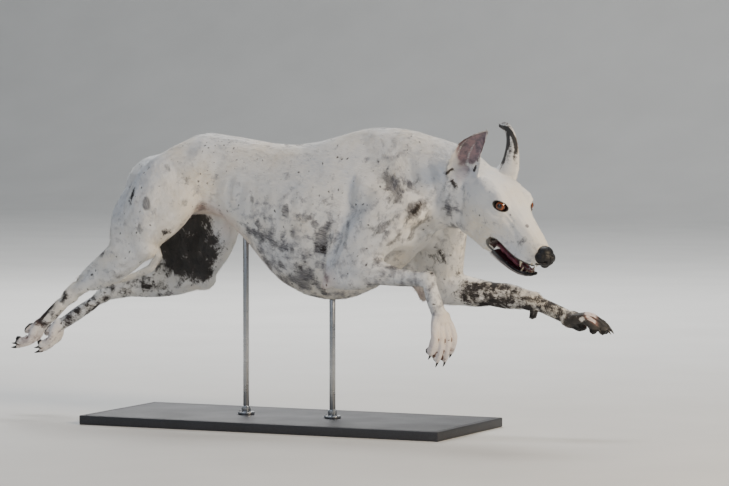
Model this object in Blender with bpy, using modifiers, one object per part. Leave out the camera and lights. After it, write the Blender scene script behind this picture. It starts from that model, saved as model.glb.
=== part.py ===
"""A life-size greyhound in full gallop, all four feet off the ground, on a display stand.

Metres, +Z up. The dog runs along +X, its left side is +Y, and the origin is the middle of the
underside of the stand's base. The body is built whole from named muscle masses set on named joints,
fused, and then parted with thin planar cuts, so that each node meets the next face to face.
"""
import math

import bmesh
import bpy
from mathutils import Matrix, Vector

# Driving dimensions
GAP = 0.0004            # clear distance kept between nodes that touch
BODY_VOXEL = 0.0045     # grain of the fused trunk and legs
HEAD_VOXEL = 0.0026     # grain of the fused head
PAW_VOXEL = 0.0023      # grain of the fused paws
BODY_FACES = 5000
HEAD_FACES = 2100
PAW_FACES = 960

HEAD_LENGTH = 0.291     # occiput to nose tip
EYE_RADIUS = 0.0140
EYE_OPENING = Vector((0.0100, 0.0170, 0.0088))      # half sizes: depth, along the slit, height
EAR_WALL = 0.0026
CLAW_LENGTH = 0.019

BASE_SIZE = Vector((0.84, 0.34, 0.020))
ROD_RADIUS = 0.0065
STAND_RODS = {"stand_rod_front": (0.100, 0.300), "stand_rod_rear": (-0.105, 0.430)}

PAINTS = {
    "eye": (0.16, 0.06, 0.02), "nose": (0.01, 0.01, 0.01), "tongue": (0.42, 0.12, 0.13),
    "stand": (0.10, 0.10, 0.11),
}

SIDES = {"right": -1.0, "left": 1.0}


def v3(x, y, z):
    return Vector((x, y, z))


# Joints of the pose. Each side is given on its own, because a gallop is never symmetric.
SHOULDER = {"right": v3(0.314, -0.078, 0.466), "left": v3(0.360, 0.075, 0.464)}
ELBOW = {"right": v3(0.176, -0.094, 0.336), "left": v3(0.306, 0.095, 0.297)}
OLECRANON = {"right": v3(0.134, -0.098, 0.311), "left": v3(0.266, 0.100, 0.279)}
CARPUS = {"right": v3(0.370, -0.112, 0.330), "left": v3(0.512, 0.096, 0.279)}
KNUCKLE = {"right": v3(0.402, -0.114, 0.242), "left": v3(0.612, 0.094, 0.2390)}
HIP = {"right": v3(-0.262, -0.052, 0.550), "left": v3(-0.262, 0.052, 0.545)}
ISCHIUM = {"right": v3(-0.338, -0.040, 0.500), "left": v3(-0.340, 0.040, 0.500)}
HAM = {"right": v3(0.000, 0, 0.036), "left": v3(0.004, 0, 0.030)}
FORE_SHANK = {"right": 0.012, "left": 0.004}
FLANK = {"right": v3(-0.212, -0.050, 0.515), "left": v3(-0.172, 0.050, 0.470)}
KNEE = {"right": v3(-0.306, -0.084, 0.378), "left": v3(-0.252, 0.080, 0.306)}
HOCK = {"right": v3(-0.500, -0.060, 0.269), "left": v3(-0.482, 0.052, 0.262)}
TOEROOT = {"right": v3(-0.582, -0.060, 0.196), "left": v3(-0.594, 0.044, 0.188)}


def clear_scene():
    for obj in list(bpy.data.objects):
        bpy.data.objects.remove(obj, do_unlink=True)


def new_object(name, mesh, collection):
    obj = bpy.data.objects.new(name, mesh)
    collection.objects.link(obj)
    return obj


def smooth_step(t):
    return t * t * (3 - 2 * t)


def mass(a, b, ra, rb, bulge=0.0, flat=1.0, side=(0, 1, 0), full=0.62):
    """One muscle or bone: a sphere drawn out from a to b, ra and rb thick at its ends and bulge more between,
    flat times as thick along side as across it. Returns a closed bmesh."""
    bm = bmesh.new()
    bmesh.ops.create_uvsphere(bm, u_segments=18, v_segments=14, radius=1.0)
    axis = b - a
    length = axis.length
    axis.normalize()
    across = Vector(side) - axis * axis.dot(Vector(side))
    across.normalize()
    deep = axis.cross(across)
    for vert in bm.verts:
        x, y, z = vert.co
        ring = math.hypot(x, y)
        turn = math.atan2(y, x)
        s = (z + 1) / 2
        radius = ra + (rb - ra) * s + bulge * math.sin(math.pi * s)
        along = z * (length / 2 + (ra if z < 0 else rb) * 0.75)
        spread = ring ** full * radius if ring > 1e-6 else 0.0
        vert.co = ((a + b) / 2 + axis * along + across * (math.cos(turn) * spread * flat)
                   + deep * (math.sin(turn) * spread))
    bmesh.ops.recalc_face_normals(bm, faces=bm.faces)
    return bm


def ball(centre, rx, ry=None, rz=None, turn=None, segments=18):
    """An ellipsoid, turned by the matrix turn."""
    bm = bmesh.new()
    bmesh.ops.create_uvsphere(bm, u_segments=segments, v_segments=segments * 2 // 3, radius=1.0)
    scale = Matrix.Diagonal((rx, ry or rx, rz or rx, 1.0))
    spin = turn.to_4x4() if turn else Matrix.Identity(4)
    bmesh.ops.transform(bm, matrix=Matrix.Translation(centre) @ spin @ scale, verts=bm.verts)
    return bm


def loft(rings):
    """A closed surface through rings of points that all have the same count."""
    bm = bmesh.new()
    rows = [[bm.verts.new(p) for p in ring] for ring in rings]
    count = len(rows[0])
    for low, high in zip(rows, rows[1:]):
        for i in range(count):
            j = (i + 1) % count
            bm.faces.new((low[i], low[j], high[j], high[i]))
    bm.faces.new(rows[0])
    bm.faces.new(rows[-1])
    bmesh.ops.recalc_face_normals(bm, faces=bm.faces)
    return bm


def between(rows, steps):
    """Rows of numbers, with steps rows worked out between each two on a smooth curve through all."""
    out = []
    for i in range(len(rows) - 1):
        p0 = rows[max(i - 1, 0)]
        p1, p2 = rows[i], rows[i + 1]
        p3 = rows[min(i + 2, len(rows) - 1)]
        for k in range(steps):
            t = k / steps
            out.append([
                0.5 * (2 * b + (c - a) * t + (2 * a - 5 * b + 4 * c - d) * t * t
                       + (3 * b - a - 3 * c + d) * t ** 3)
                for a, b, c, d in zip(p0, p1, p2, p3)
            ])
    out.append(list(rows[-1]))
    return out


def oval(count, half_width, up, down, keel_up, keel_down):
    """Points of an egg: (across, height) pairs, round with a keel of 1 and sharper with a keel above 1."""
    points = []
    for i in range(count):
        turn = 2 * math.pi * i / count
        c, s = math.cos(turn), math.sin(turn)
        keel = keel_up if s > 0 else keel_down
        wide = half_width * math.copysign(abs(c) ** keel, c)
        points.append((wide, (up if s > 0 else down) * s))
    return points


# The trunk, from rump to breast: x, height of the back, height of the belly, half width,
# share of the height below the widest place, keel of the upper half, keel of the lower half
TRUNK = [
    (-0.386, 0.530, 0.478, 0.026, 0.50, 1.0, 1.0),
    (-0.366, 0.554, 0.455, 0.046, 0.50, 1.0, 1.0),
    (-0.335, 0.574, 0.446, 0.060, 0.52, 1.0, 1.0),
    (-0.300, 0.580, 0.444, 0.069, 0.55, 1.0, 1.0),
    (-0.255, 0.600, 0.445, 0.073, 0.58, 1.0, 1.0),
    (-0.215, 0.6195, 0.447, 0.075, 0.58, 0.95, 1.0),
    (-0.180, 0.6225, 0.448, 0.071, 0.58, 0.90, 1.0),
    (-0.150, 0.618, 0.438, 0.066, 0.58, 0.85, 1.0),
    (-0.120, 0.616, 0.410, 0.063, 0.58, 0.80, 1.0),
    (-0.080, 0.610, 0.371, 0.064, 0.58, 0.80, 1.0),
    (-0.035, 0.6030, 0.321, 0.070, 0.56, 0.80, 1.05),
    (0.010, 0.6010, 0.291, 0.078, 0.55, 0.85, 1.1),
    (0.055, 0.6055, 0.2745, 0.083, 0.54, 0.90, 1.15),
    (0.100, 0.616, 0.2695, 0.083, 0.53, 1.0, 1.2),
    (0.145, 0.6285, 0.2745, 0.078, 0.52, 1.1, 1.2),
    (0.185, 0.638, 0.289, 0.071, 0.52, 1.15, 1.15),
    (0.225, 0.640, 0.312, 0.066, 0.50, 1.15, 1.05),
    (0.265, 0.637, 0.343, 0.062, 0.48, 1.1, 1.0),
    (0.300, 0.632, 0.377, 0.058, 0.45, 1.0, 1.0),
    (0.332, 0.622, 0.414, 0.048, 0.42, 1.0, 1.0),
    (0.350, 0.600, 0.445, 0.030, 0.40, 1.0, 1.0),
]


def trunk():
    rings = []
    for x, top, bottom, wide, share, keel_up, keel_down in between(TRUNK, 3):
        middle = bottom + (top - bottom) * share
        rings.append([
            Vector((x, across, middle + height))
            for across, height in oval(28, wide, top - middle, middle - bottom, keel_up, keel_down)
        ])
    return loft(rings)


# The head's own frame: forward to the nose, left, and up, from a point inside the back of the skull
HEAD_ORIGIN = v3(0.4385, -0.020, 0.5365)
HEAD_YAW = math.radians(-30)
HEAD_PITCH = math.radians(-32)
HEAD_SCALE = HEAD_LENGTH / 0.28
HEAD_FORWARD = v3(math.cos(HEAD_PITCH) * math.cos(HEAD_YAW), math.cos(HEAD_PITCH) * math.sin(HEAD_YAW),
                  math.sin(HEAD_PITCH))
HEAD_LEFT = v3(-math.sin(HEAD_YAW), math.cos(HEAD_YAW), 0)
HEAD_UP = HEAD_FORWARD.cross(HEAD_LEFT)
HEAD_TURN = Matrix((HEAD_FORWARD, HEAD_LEFT, HEAD_UP)).transposed()


def in_head(forward, left, up):
    return HEAD_ORIGIN + HEAD_TURN @ (v3(forward, left, up) * HEAD_SCALE)


# Skull and upper muzzle: forward, top, underside, half width, keel of the upper and lower half
SKULL = [
    (-0.014, 0.020, -0.026, 0.022, 1.0, 1.0),
    (0.002, 0.031, -0.046, 0.038, 1.0, 1.0),
    (0.030, 0.0400, -0.060, 0.0475, 0.95, 1.0),
    (0.060, 0.0465, -0.066, 0.0515, 0.95, 0.95),
    (0.090, 0.0495, -0.064, 0.0520, 0.95, 0.9),
    (0.115, 0.0485, -0.058, 0.0505, 0.95, 0.85),
    (0.135, 0.0440, -0.052, 0.0460, 0.95, 0.8),
    (0.155, 0.0378, -0.047, 0.0390, 0.9, 0.7),
    (0.175, 0.0322, -0.045, 0.0325, 0.85, 0.62),
    (0.200, 0.0265, -0.0435, 0.0280, 0.8, 0.6),
    (0.225, 0.0215, -0.0405, 0.0258, 0.8, 0.6),
    (0.248, 0.0160, -0.0355, 0.0225, 0.8, 0.65),
    (0.263, 0.0100, -0.0310, 0.0185, 0.85, 0.75),
    (0.272, 0.0040, -0.0260, 0.0130, 1.0, 1.0),
]
# Lower jaw, open: forward, top, underside, half width
JAW = [
    (0.020, -0.046, -0.088, 0.026),
    (0.062, -0.056, -0.0995, 0.0325),
    (0.093, -0.062, -0.0950, 0.0335),
    (0.141, -0.0670, -0.0900, 0.0295),
    (0.186, -0.0672, -0.0852, 0.0245),
    (0.220, -0.0648, -0.0800, 0.0205),
    (0.246, -0.0580, -0.0715, 0.0175),
    (0.261, -0.0510, -0.0625, 0.0140),
    (0.268, -0.0465, -0.0560, 0.0085),
]


def head_loft(rows, keeled):
    rings = []
    for row in between(rows, 3):
        forward, top, bottom, wide = row[:4]
        keels = row[4:] if keeled else (0.85, 0.85)
        middle = (top + bottom) / 2
        half = (top - bottom) / 2
        rings.append([in_head(forward, a, middle + h) for a, h in oval(24, wide, half, half, *keels)])
    return loft(rings)


def head_masses():
    pieces = [head_loft(SKULL, True), head_loft(JAW, False)]
    for side in SIDES.values():
        pieces += [
            # brow, cheek, web of the mouth's corner, arch under the eye, lids, root of the ear
            mass(in_head(0.060, side * 0.0270, 0.0225), in_head(0.1120, side * 0.0305, 0.0325),
                 0.0250, 0.0165, 0.0),
            mass(in_head(0.108, side * 0.0305, 0.0325), in_head(0.1355, side * 0.0330, 0.0325),
                 0.0170, 0.0122, 0.0),
            mass(in_head(0.052, side * 0.028, -0.078), in_head(0.086, side * 0.041, -0.006),
                 0.026, 0.018, 0.005, 0.55, HEAD_LEFT),
            mass(in_head(0.100, side * 0.025, -0.074), in_head(0.126, side * 0.031, -0.034),
                 0.021, 0.017, 0.003, 0.48, HEAD_LEFT),
            mass(in_head(0.070, side * 0.0450, 0.006), in_head(0.155, side * 0.0320, -0.004),
                 0.0095, 0.0085, 0.002),
            ball(eye_centre(side) - eye_gaze(side) * 0.0025, EYE_RADIUS + 0.0046, EYE_RADIUS + 0.0095,
                 EYE_RADIUS + 0.0022, eye_frame(side)),
            mass(in_head(-0.006, side * 0.024, -0.006), in_head(0.016, side * 0.030, 0.022), 0.018, 0.015),
        ]
    return pieces


def eye_centre(side):
    return in_head(0.1345, side * 0.0310, 0.0235)


def eye_gaze(side):
    return (HEAD_TURN @ v3(0.50, side * 0.80, 0.33)).normalized()


def eye_frame(side):
    """Turn whose first axis is the gaze and whose second runs along the slit between the lids."""
    return frame_along(eye_gaze(side), HEAD_TURN @ v3(0.84, -side * 0.54, 0.045))


def neck_masses():
    """Tube of the neck, from inside the trunk to inside the skull."""
    rows = [
        (0.200, 0.000, 0.540, 0.100, 0.048),
        (0.255, 0.000, 0.5340, 0.102, 0.058),
        (0.305, -0.002, 0.5260, 0.101, 0.061),
        (0.345, -0.006, 0.5200, 0.098, 0.058),
        (0.382, -0.012, 0.5140, 0.092, 0.055),
        (0.412, -0.018, 0.5060, 0.084, 0.053),
        (0.442, -0.026, 0.4930, 0.075, 0.047),
    ]
    rings = []
    for x, y, z, deep, wide in between(rows, 3):
        lean = smooth_step(min(max((x - 0.30) / 0.14, 0), 1))
        along = v3(1, -0.30 * lean, -0.55 * lean).normalized()
        left = v3(0, 0, 1).cross(along).normalized()
        up = along.cross(left)
        centre = v3(x, y, z)
        rings.append([centre + left * a + up * h for a, h in oval(26, wide, deep, deep, 1.0, 1.0)])
    return [loft(rings), mass(v3(0.285, 0, 0.452), v3(0.345, -0.004, 0.452), 0.040, 0.030, 0.0, 1.1)]


def foreleg_masses(name):
    side = SIDES[name]
    shoulder, elbow, tip = SHOULDER[name], ELBOW[name], OLECRANON[name]
    blade_top = v3(0.214 if name == "right" else 0.228, side * 0.026, 0.612)
    blade_back = v3(0.150, side * 0.056, 0.520)
    inward = v3(0, -side, 0)
    pieces = [] if name == "right" else [
        # the reaching leg's arm and forearm, swollen with effort
        mass(v3(0.350, 0.080, 0.425), v3(0.342, 0.094, 0.335), 0.024, 0.022, 0.0, 0.9),
        mass(v3(0.345, 0.096, 0.292), v3(0.420, 0.096, 0.2885), 0.034, 0.0305, 0.0, 0.70),
    ]
    return pieces + [
        # shoulder blade, its rear muscle, point of the shoulder
        mass(blade_top, shoulder + inward * 0.020, 0.030, 0.038, 0.012, 0.52),
        mass(blade_back, shoulder + inward * 0.026, 0.024, 0.038, 0.014, 0.60),
        mass(v3(0.250, side * 0.026, 0.590), shoulder + inward * 0.022, 0.030, 0.036, 0.010, 0.60),
        ball(shoulder + inward * 0.012, 0.034, 0.026, 0.034),
        # upper arm: front muscle, then the two heads of the triceps down to the point of the elbow
        mass(shoulder + inward * 0.004, elbow, 0.033, 0.027, 0.004, 0.85),
        mass(shoulder + v3(-0.050, -side * 0.008, 0.020), tip + v3(0.012, 0, 0.010),
             0.042, 0.020, 0.004, 0.72),
        mass(blade_back + v3(0.030, 0, -0.035), tip, 0.024, 0.0135, 0.008, 0.70),
        ball(tip, 0.0135, 0.012, 0.0135),
        # pectoral muscle from the breast to the arm
        mass(v3(0.285, side * 0.024, 0.420), shoulder + v3(-0.035, 0, -0.055), 0.038, 0.026, 0.0, 0.9),
    ] + forearm_masses(name)


def forearm_masses(name):
    side = SIDES[name]
    elbow, tip, carpus = ELBOW[name], OLECRANON[name], CARPUS[name]
    run = (carpus - elbow).normalized()
    lift = run.cross(v3(0, 1, 0)).normalized() * -1
    if lift.z < 0:
        lift = -lift
    middle = elbow.lerp(carpus, 0.40)
    pieces = [] if name == "right" else [
        mass(v3(0.420, 0.096, 0.2885), v3(0.500, 0.096, 0.2795), 0.0305, 0.0255, 0.0, 0.74),
        mass(v3(0.500, 0.096, 0.2795), v3(0.524, 0.096, 0.2740), 0.0250, 0.0215, 0.0, 0.80),
    ]
    return pieces + [
        mass(elbow + lift * 0.008, elbow.lerp(carpus, 0.66) + lift * 0.003, 0.027, 0.0180, 0.006, 0.84),
        mass(elbow.lerp(tip, 0.45) - lift * 0.004, middle - lift * 0.006, 0.024, 0.0175, 0.003, 0.84),
        mass(middle, carpus, 0.0205, 0.0185, -0.001, 0.84),
        mass(elbow.lerp(carpus, 0.30) - lift * 0.010, carpus - lift * 0.010, 0.0135, 0.0095, 0.0, 0.9),
        ball(carpus, 0.0205, 0.0175, 0.0205),
    ]


def hindleg_masses(name):
    side = SIDES[name]
    hip, seat, knee, hock = HIP[name], ISCHIUM[name], KNEE[name], HOCK[name]
    front = FLANK[name]
    return [
        # hip muscle, front of the thigh, back of the thigh, inner thigh
        mass(v3(-0.200, side * 0.034, 0.586), hip + v3(0, side * 0.004, -0.010), 0.028, 0.046, 0.006, 0.60),
        mass(front, knee + v3(0.004, 0, 0.016), 0.040, 0.031, 0.012, 0.80),
        mass(hip + v3(-0.010, side * 0.006, -0.010), knee + v3(-0.012, 0, 0.030), 0.052, 0.038, 0.012, 0.80),
        mass(seat, knee.lerp(hock, 0.30) + HAM[name], 0.036, 0.032, 0.014, 0.72),
        mass(v3(-0.290, side * 0.034, 0.470), knee + v3(-0.010, -side * 0.012, 0.020),
             0.034, 0.026, 0.006, 0.70),
        ball(seat, 0.030, 0.024, 0.034),
        # kneecap
        ball(knee + v3(0.006, 0, 0.0), 0.028, 0.024, 0.028),
    ] + shank_masses(name)


def shank_masses(name):
    knee, hock = KNEE[name], HOCK[name]
    run = (hock - knee).normalized()
    back = run.cross(v3(0, 1, 0)).normalized()
    if back.z < 0:
        back = -back
    heel = heel_of(name)
    calf = knee.lerp(hock, 0.28) + back * 0.032
    return [
        mass(knee, knee.lerp(hock, 0.62), 0.029, 0.0165, 0.004, 0.80),
        mass(knee + back * 0.024, knee.lerp(hock, 0.60) + back * 0.018, 0.031, 0.0115, 0.008, 0.72),
        mass(calf, heel, 0.025, 0.0092, -0.002, 0.62),
        mass(knee - back * 0.004, knee.lerp(hock, 0.72) - back * FORE_SHANK[name],
             0.026, 0.0155, 0.004, 0.80),
        mass(knee.lerp(hock, 0.40), hock, 0.0160, 0.0150, -0.0005, 0.90),
        ball(hock, 0.0190, 0.0175, 0.0190),
        mass(hock, heel, 0.0150, 0.0098, 0.0, 0.80),
        mass(hock, hock.lerp(TOEROOT[name], 0.3), 0.0150, 0.0125, 0.0, 0.90),
    ]


def heel_of(name):
    hock, toe, knee = HOCK[name], TOEROOT[name], KNEE[name]
    shin = (toe - hock).normalized()
    back = shin.cross(v3(0, 1, 0)).normalized()
    if back.dot(knee - hock) < 0 and back.x > 0:
        back = -back
    if back.z < 0:
        back = -back
    return hock - shin * 0.020 + back * 0.013


# Each paw: way the toes point, way its upper side faces, how far the toes spread, bend and reach
PAW_WAY = {
    "forepaw_right": (v3(0.03, 0.02, -1.0), v3(0.80, -0.60, 0.05), 1.12, 1.1, 1.28),
    "forepaw_left": (v3(0.98, 0.03, -0.15), v3(0.15, 0.0, 1.0), 1.12, 1.0, 1.2),
    "hindpaw_right": (v3(-0.70, -0.05, -0.70), v3(0.70, 0.0, -0.70), 0.90, 0.8, 1.0),
    "hindpaw_left": (v3(-0.55, -0.03, -0.82), v3(0.82, 0.0, -0.55), 0.90, 0.8, 1.0),
}
PAW_GIRTH = {"forepaw_right": 1.06, "forepaw_left": 1.16, "hindpaw_right": 0.92, "hindpaw_left": 0.92}
TOES = ((-0.0205, 0.80), (-0.0074, 1.0), (0.0074, 1.0), (0.0205, 0.80))


def paw_frame(paw):
    way, upper, spread, bend, reach = PAW_WAY[paw]
    way = way.normalized()
    upper = (upper - way * upper.dot(way)).normalized()
    return way, upper, way.cross(upper), spread, bend, reach


def paw_root(paw):
    kind, name = paw.split("_")
    return KNUCKLE[name] if kind == "forepaw" else TOEROOT[name]


def toe_points(paw):
    """For each toe its root, its bent joint and its tip."""
    way, upper, across, spread, bend, reach = paw_frame(paw)
    root = paw_root(paw)
    rows = []
    for off, long in TOES:
        base = root + across * (off * 0.66) - way * 0.006
        joint = root + across * (off * spread) + way * (0.030 * long * reach) + upper * (0.011 * bend)
        tip = root + across * (off * spread * 1.06) + way * (0.062 * long * reach) - upper * (0.005 * bend)
        rows.append((base, joint, tip))
    return rows


def paw_masses(paw):
    kind, name = paw.split("_")
    way, upper, across, spread, bend, reach = paw_frame(paw)
    root = paw_root(paw)
    ankle = CARPUS[name] if kind == "forepaw" else HOCK[name]
    fine = PAW_GIRTH[paw]
    pieces = forearm_masses(name) if kind == "forepaw" else shank_masses(name)
    slim = min(fine, 1.0)
    pieces += [
        mass(ankle, root, 0.0182 * slim, 0.0172 * slim, -0.0015, 1.04),
        mass(root - way * 0.012, root + way * 0.004, 0.0172 * fine, 0.0165 * fine, 0.0, 1.20, across),
    ]
    for base, joint, tip in toe_points(paw):
        pieces += [
            mass(base, joint, 0.0104 * fine, 0.0102 * fine, 0.0, 0.90, across),
            mass(joint, tip, 0.0100 * fine, 0.0084 * fine, 0.0, 0.90, across),
            ball(tip - upper * 0.0055 - way * 0.005, 0.0082 * fine),
        ]
    # the large pad behind the toes
    turn = Matrix((way, across, upper)).transposed()
    pieces.append(ball(root + way * 0.016 - upper * 0.0130, 0.0160, 0.0185, 0.0090, turn))
    if kind == "forepaw":
        side = SIDES[name]
        leg = (root - ankle).normalized()
        under = -(upper - leg * upper.dot(leg)).normalized()
        pieces.append(ball(ankle + leg * 0.016 + under * 0.0155 - v3(0, side * -0.003, 0), 0.0088))
        if name == "left":
            pieces.append(ball(v3(0.5185, 0.0955, 0.2480), 0.0115, 0.0100, 0.0120))
        pieces.append(mass(ankle + leg * 0.030 - v3(0, side * 0.014, 0),
                           ankle + leg * 0.046 - v3(0, side * 0.018, 0) + under * 0.003, 0.0068, 0.0056))
    return pieces


def claws(paw):
    """A bent cone at the end of each toe."""
    way, upper, across, spread, bend, reach = paw_frame(paw)
    pieces = []
    for base, joint, tip in toe_points(paw):
        run = (tip - joint).normalized()
        start = tip + run * 0.001 + upper * 0.0008
        rings = []
        for s, thick in ((0.0, 0.0036), (0.35, 0.0034), (0.7, 0.0024), (1.0, 0.0009)):
            centre = start + run * (CLAW_LENGTH * s) - upper * (0.0055 * s * s)
            eighths = [k * math.pi / 4 for k in range(8)]
            rings.append([centre + across * (math.cos(a) * thick * 0.8) + upper * (math.sin(a) * thick)
                          for a in eighths])
        pieces.append(loft(rings))
    return pieces


# The tail is clamped between the hind legs in the gallop: points of its path, and its thickness there
TAIL = [
    (-0.335, 0.552, 0.0170),
    (-0.368, 0.535, 0.0160),
    (-0.384, 0.500, 0.0142),
    (-0.382, 0.462, 0.0130),
    (-0.358, 0.418, 0.0120),
    (-0.330, 0.386, 0.0110),
    (-0.318, 0.356, 0.0102),
    (-0.334, 0.330, 0.0092),
    (-0.372, 0.312, 0.0080),
    (-0.416, 0.300, 0.0068),
    (-0.452, 0.293, 0.0052),
]


def tail_loft(grow=0.0):
    rows = between(TAIL, 1)
    rings = []
    for i, (x, z, thick) in enumerate(rows):
        before, after = rows[max(i - 1, 0)], rows[min(i + 1, len(rows) - 1)]
        along = v3(after[0] - before[0], 0, after[1] - before[1]).normalized()
        up = along.cross(v3(0, 1, 0))
        centre = v3(x, 0, z)
        if grow and i in (0, len(rows) - 1):
            centre += along * (-grow if i == 0 else grow)
        rings.append([
            centre + v3(0, 1, 0) * (math.cos(k * math.pi / 6) * (thick + grow))
            + up * (math.sin(k * math.pi / 6) * (thick + grow))
            for k in range(12)
        ])
    return loft(rings)


# Ears, in the head's frame: forward, sideways, up, half width, cup (half angle of its arc in degrees)
EARS = {
    "right": [
        (0.006, 0.028, -0.020, 0.012, 80),
        (0.004, 0.038, 0.000, 0.027, 86),
        (0.008, 0.046, 0.022, 0.034, 80),
        (0.014, 0.052, 0.046, 0.033, 72),
        (0.017, 0.056, 0.074, 0.0285, 64),
        (0.026, 0.057, 0.100, 0.0200, 56),
        (0.036, 0.056, 0.123, 0.0115, 50),
        (0.0435, 0.054, 0.141, 0.0032, 40),
    ],
    "left": [
        (0.012, 0.028, -0.014, 0.012, 80),
        (0.020, 0.038, 0.008, 0.027, 84),
        (0.026, 0.045, 0.030, 0.033, 80),
        (0.022, 0.050, 0.053, 0.031, 74),
        (0.012, 0.0515, 0.077, 0.0250, 68),
        (-0.004, 0.0515, 0.0965, 0.0185, 62),
        (-0.027, 0.0520, 0.1020, 0.0120, 54),
        (-0.048, 0.0525, 0.0915, 0.0040, 40),
    ],
}
EAR_FACING = {"right": -48.0, "left": 78.0}


def ear_shell(name):
    """A leaf bent into a cup, lofted from arcs along the ear's own curve."""
    side = SIDES[name]
    rows = between(EARS[name], 2)
    turn = math.radians(EAR_FACING[name])
    facing = v3(math.cos(turn), math.sin(turn), 0.10)
    rings = []
    for i, (forward, out, up, wide, cup) in enumerate(rows):
        before, after = rows[max(i - 1, 0)], rows[min(i + 1, len(rows) - 1)]
        along = v3(after[0] - before[0], side * (after[1] - before[1]), after[2] - before[2]).normalized()
        face = (facing - along * facing.dot(along)).normalized()
        across = along.cross(face)
        centre = v3(forward, side * out, up)
        half = math.radians(cup)
        radius = wide / math.sin(half) if half < math.pi / 2 else wide
        wall = EAR_WALL / HEAD_SCALE * (0.75 if wide < 0.006 else 1.0)
        ring = []
        for thick, order in ((0.0, range(8)), (wall, range(7, -1, -1))):
            for k in order:
                angle = half * (k / 3.5 - 1)
                reach = radius - thick
                ring.append(centre + across * (math.sin(angle) * reach)
                            - face * (math.cos(angle) * reach - radius * 0.55))
        rings.append([in_head(*p) for p in ring])
    return loft(rings)


def nose_masses():
    pieces = [
        ball(in_head(0.2745, 0, -0.0070), 0.0150, 0.0185, 0.0150, HEAD_TURN),
        ball(in_head(0.2670, 0, 0.0040), 0.0150, 0.0160, 0.0105, HEAD_TURN),
        ball(in_head(0.2765, 0, -0.0165), 0.0095, 0.0100, 0.0095, HEAD_TURN),
    ]
    for side in SIDES.values():
        pieces.append(ball(in_head(0.2715, side * 0.0110, -0.0065), 0.0135, 0.0105, 0.0120, HEAD_TURN))
    return pieces


def tongue_loft():
    rows = [
        (0.128, -0.0610, 0.0060, 0.0120),
        (0.150, -0.0615, 0.0070, 0.0135),
        (0.175, -0.0612, 0.0070, 0.0135),
        (0.200, -0.0605, 0.0065, 0.0130),
        (0.222, -0.0585, 0.0055, 0.0120),
        (0.240, -0.0545, 0.0045, 0.0100),
        (0.251, -0.0515, 0.0030, 0.0060),
    ]
    rings = []
    for forward, up, half, wide in between(rows, 1):
        rings.append([in_head(forward, a, up + h - 0.0035 * (1 - (a / wide) ** 2))
                      for a, h in oval(12, wide, half, half, 0.8, 0.8)])
    return loft(rings)


def tooth(point, tip, thick):
    """A slim cone from inside the gum to its tip, bent a little."""
    run = tip - point
    away = run.normalized().cross(HEAD_LEFT)
    across = run.normalized().cross(away)
    rings = []
    for s, share in ((0.0, 1.0), (0.5, 0.85), (1.0, 0.16)):
        centre = point + run * s
        rings.append([centre + across * (math.cos(k * math.pi / 3) * thick * share)
                      + away * (math.sin(k * math.pi / 3) * thick * share) for k in range(6)])
    return loft(rings)


def upper_teeth():
    pieces = []
    for side in SIDES.values():
        fang = in_head(0.229, side * 0.0185, -0.030), in_head(0.2310, side * 0.0195, -0.0480)
        pieces.append(tooth(*fang, 0.0032))
        for forward, out, long in ((0.198, 0.0205, 0.0485), (0.182, 0.0220, 0.0500)):
            gum, tip = (in_head(forward, side * out, -drop) for drop in (0.036, long))
            pieces.append(tooth(gum, tip, 0.0036))
    return pieces


def lower_teeth():
    pieces = []
    for side in SIDES.values():
        fang = in_head(0.2440, side * 0.0120, -0.0620), in_head(0.2475, side * 0.0135, -0.0460)
        front = in_head(0.2570, side * 0.0040, -0.0560), in_head(0.2600, side * 0.0040, -0.0460)
        pieces += [tooth(*fang, 0.0030), tooth(*front, 0.0024)]
        for forward, out in ((0.214, 0.0165), (0.196, 0.0182)):
            gum, tip = (in_head(forward, side * out, -drop) for drop in (0.070, 0.060))
            pieces.append(tooth(gum, tip, 0.0030))
    return pieces


def on_trunk(point):
    """How far a point of the skin counts as trunk or thigh, where muscles run together: 0 to 1."""
    height = smooth_step(min(max((point.z - 0.33) / 0.09, 0), 1))
    inner = smooth_step(min(max((0.085 - abs(point.y)) / 0.03, 0), 1)) if point.x > 0.0 else 0.0
    return max(height, inner * 0.8)


def on_cheek(point):
    """How far a point of the head's skin counts as cheek, throat or neck: 0 to 1."""
    forward, out, up = (HEAD_TURN.transposed() @ (point - HEAD_ORIGIN)) / HEAD_SCALE
    back = smooth_step(min(max((0.130 - forward) / 0.04, 0), 1))
    near_eye = min((point - eye_centre(side)).length for side in SIDES.values())
    return back * smooth_step(min(max((near_eye - 0.018) / 0.015, 0), 1))


def build_body_masses():
    pieces = [trunk(), head_loft(SKULL[:4], True), head_loft(JAW[:3], False)] + neck_masses()
    for name in SIDES:
        pieces += foreleg_masses(name) + hindleg_masses(name)
    return pieces


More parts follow.
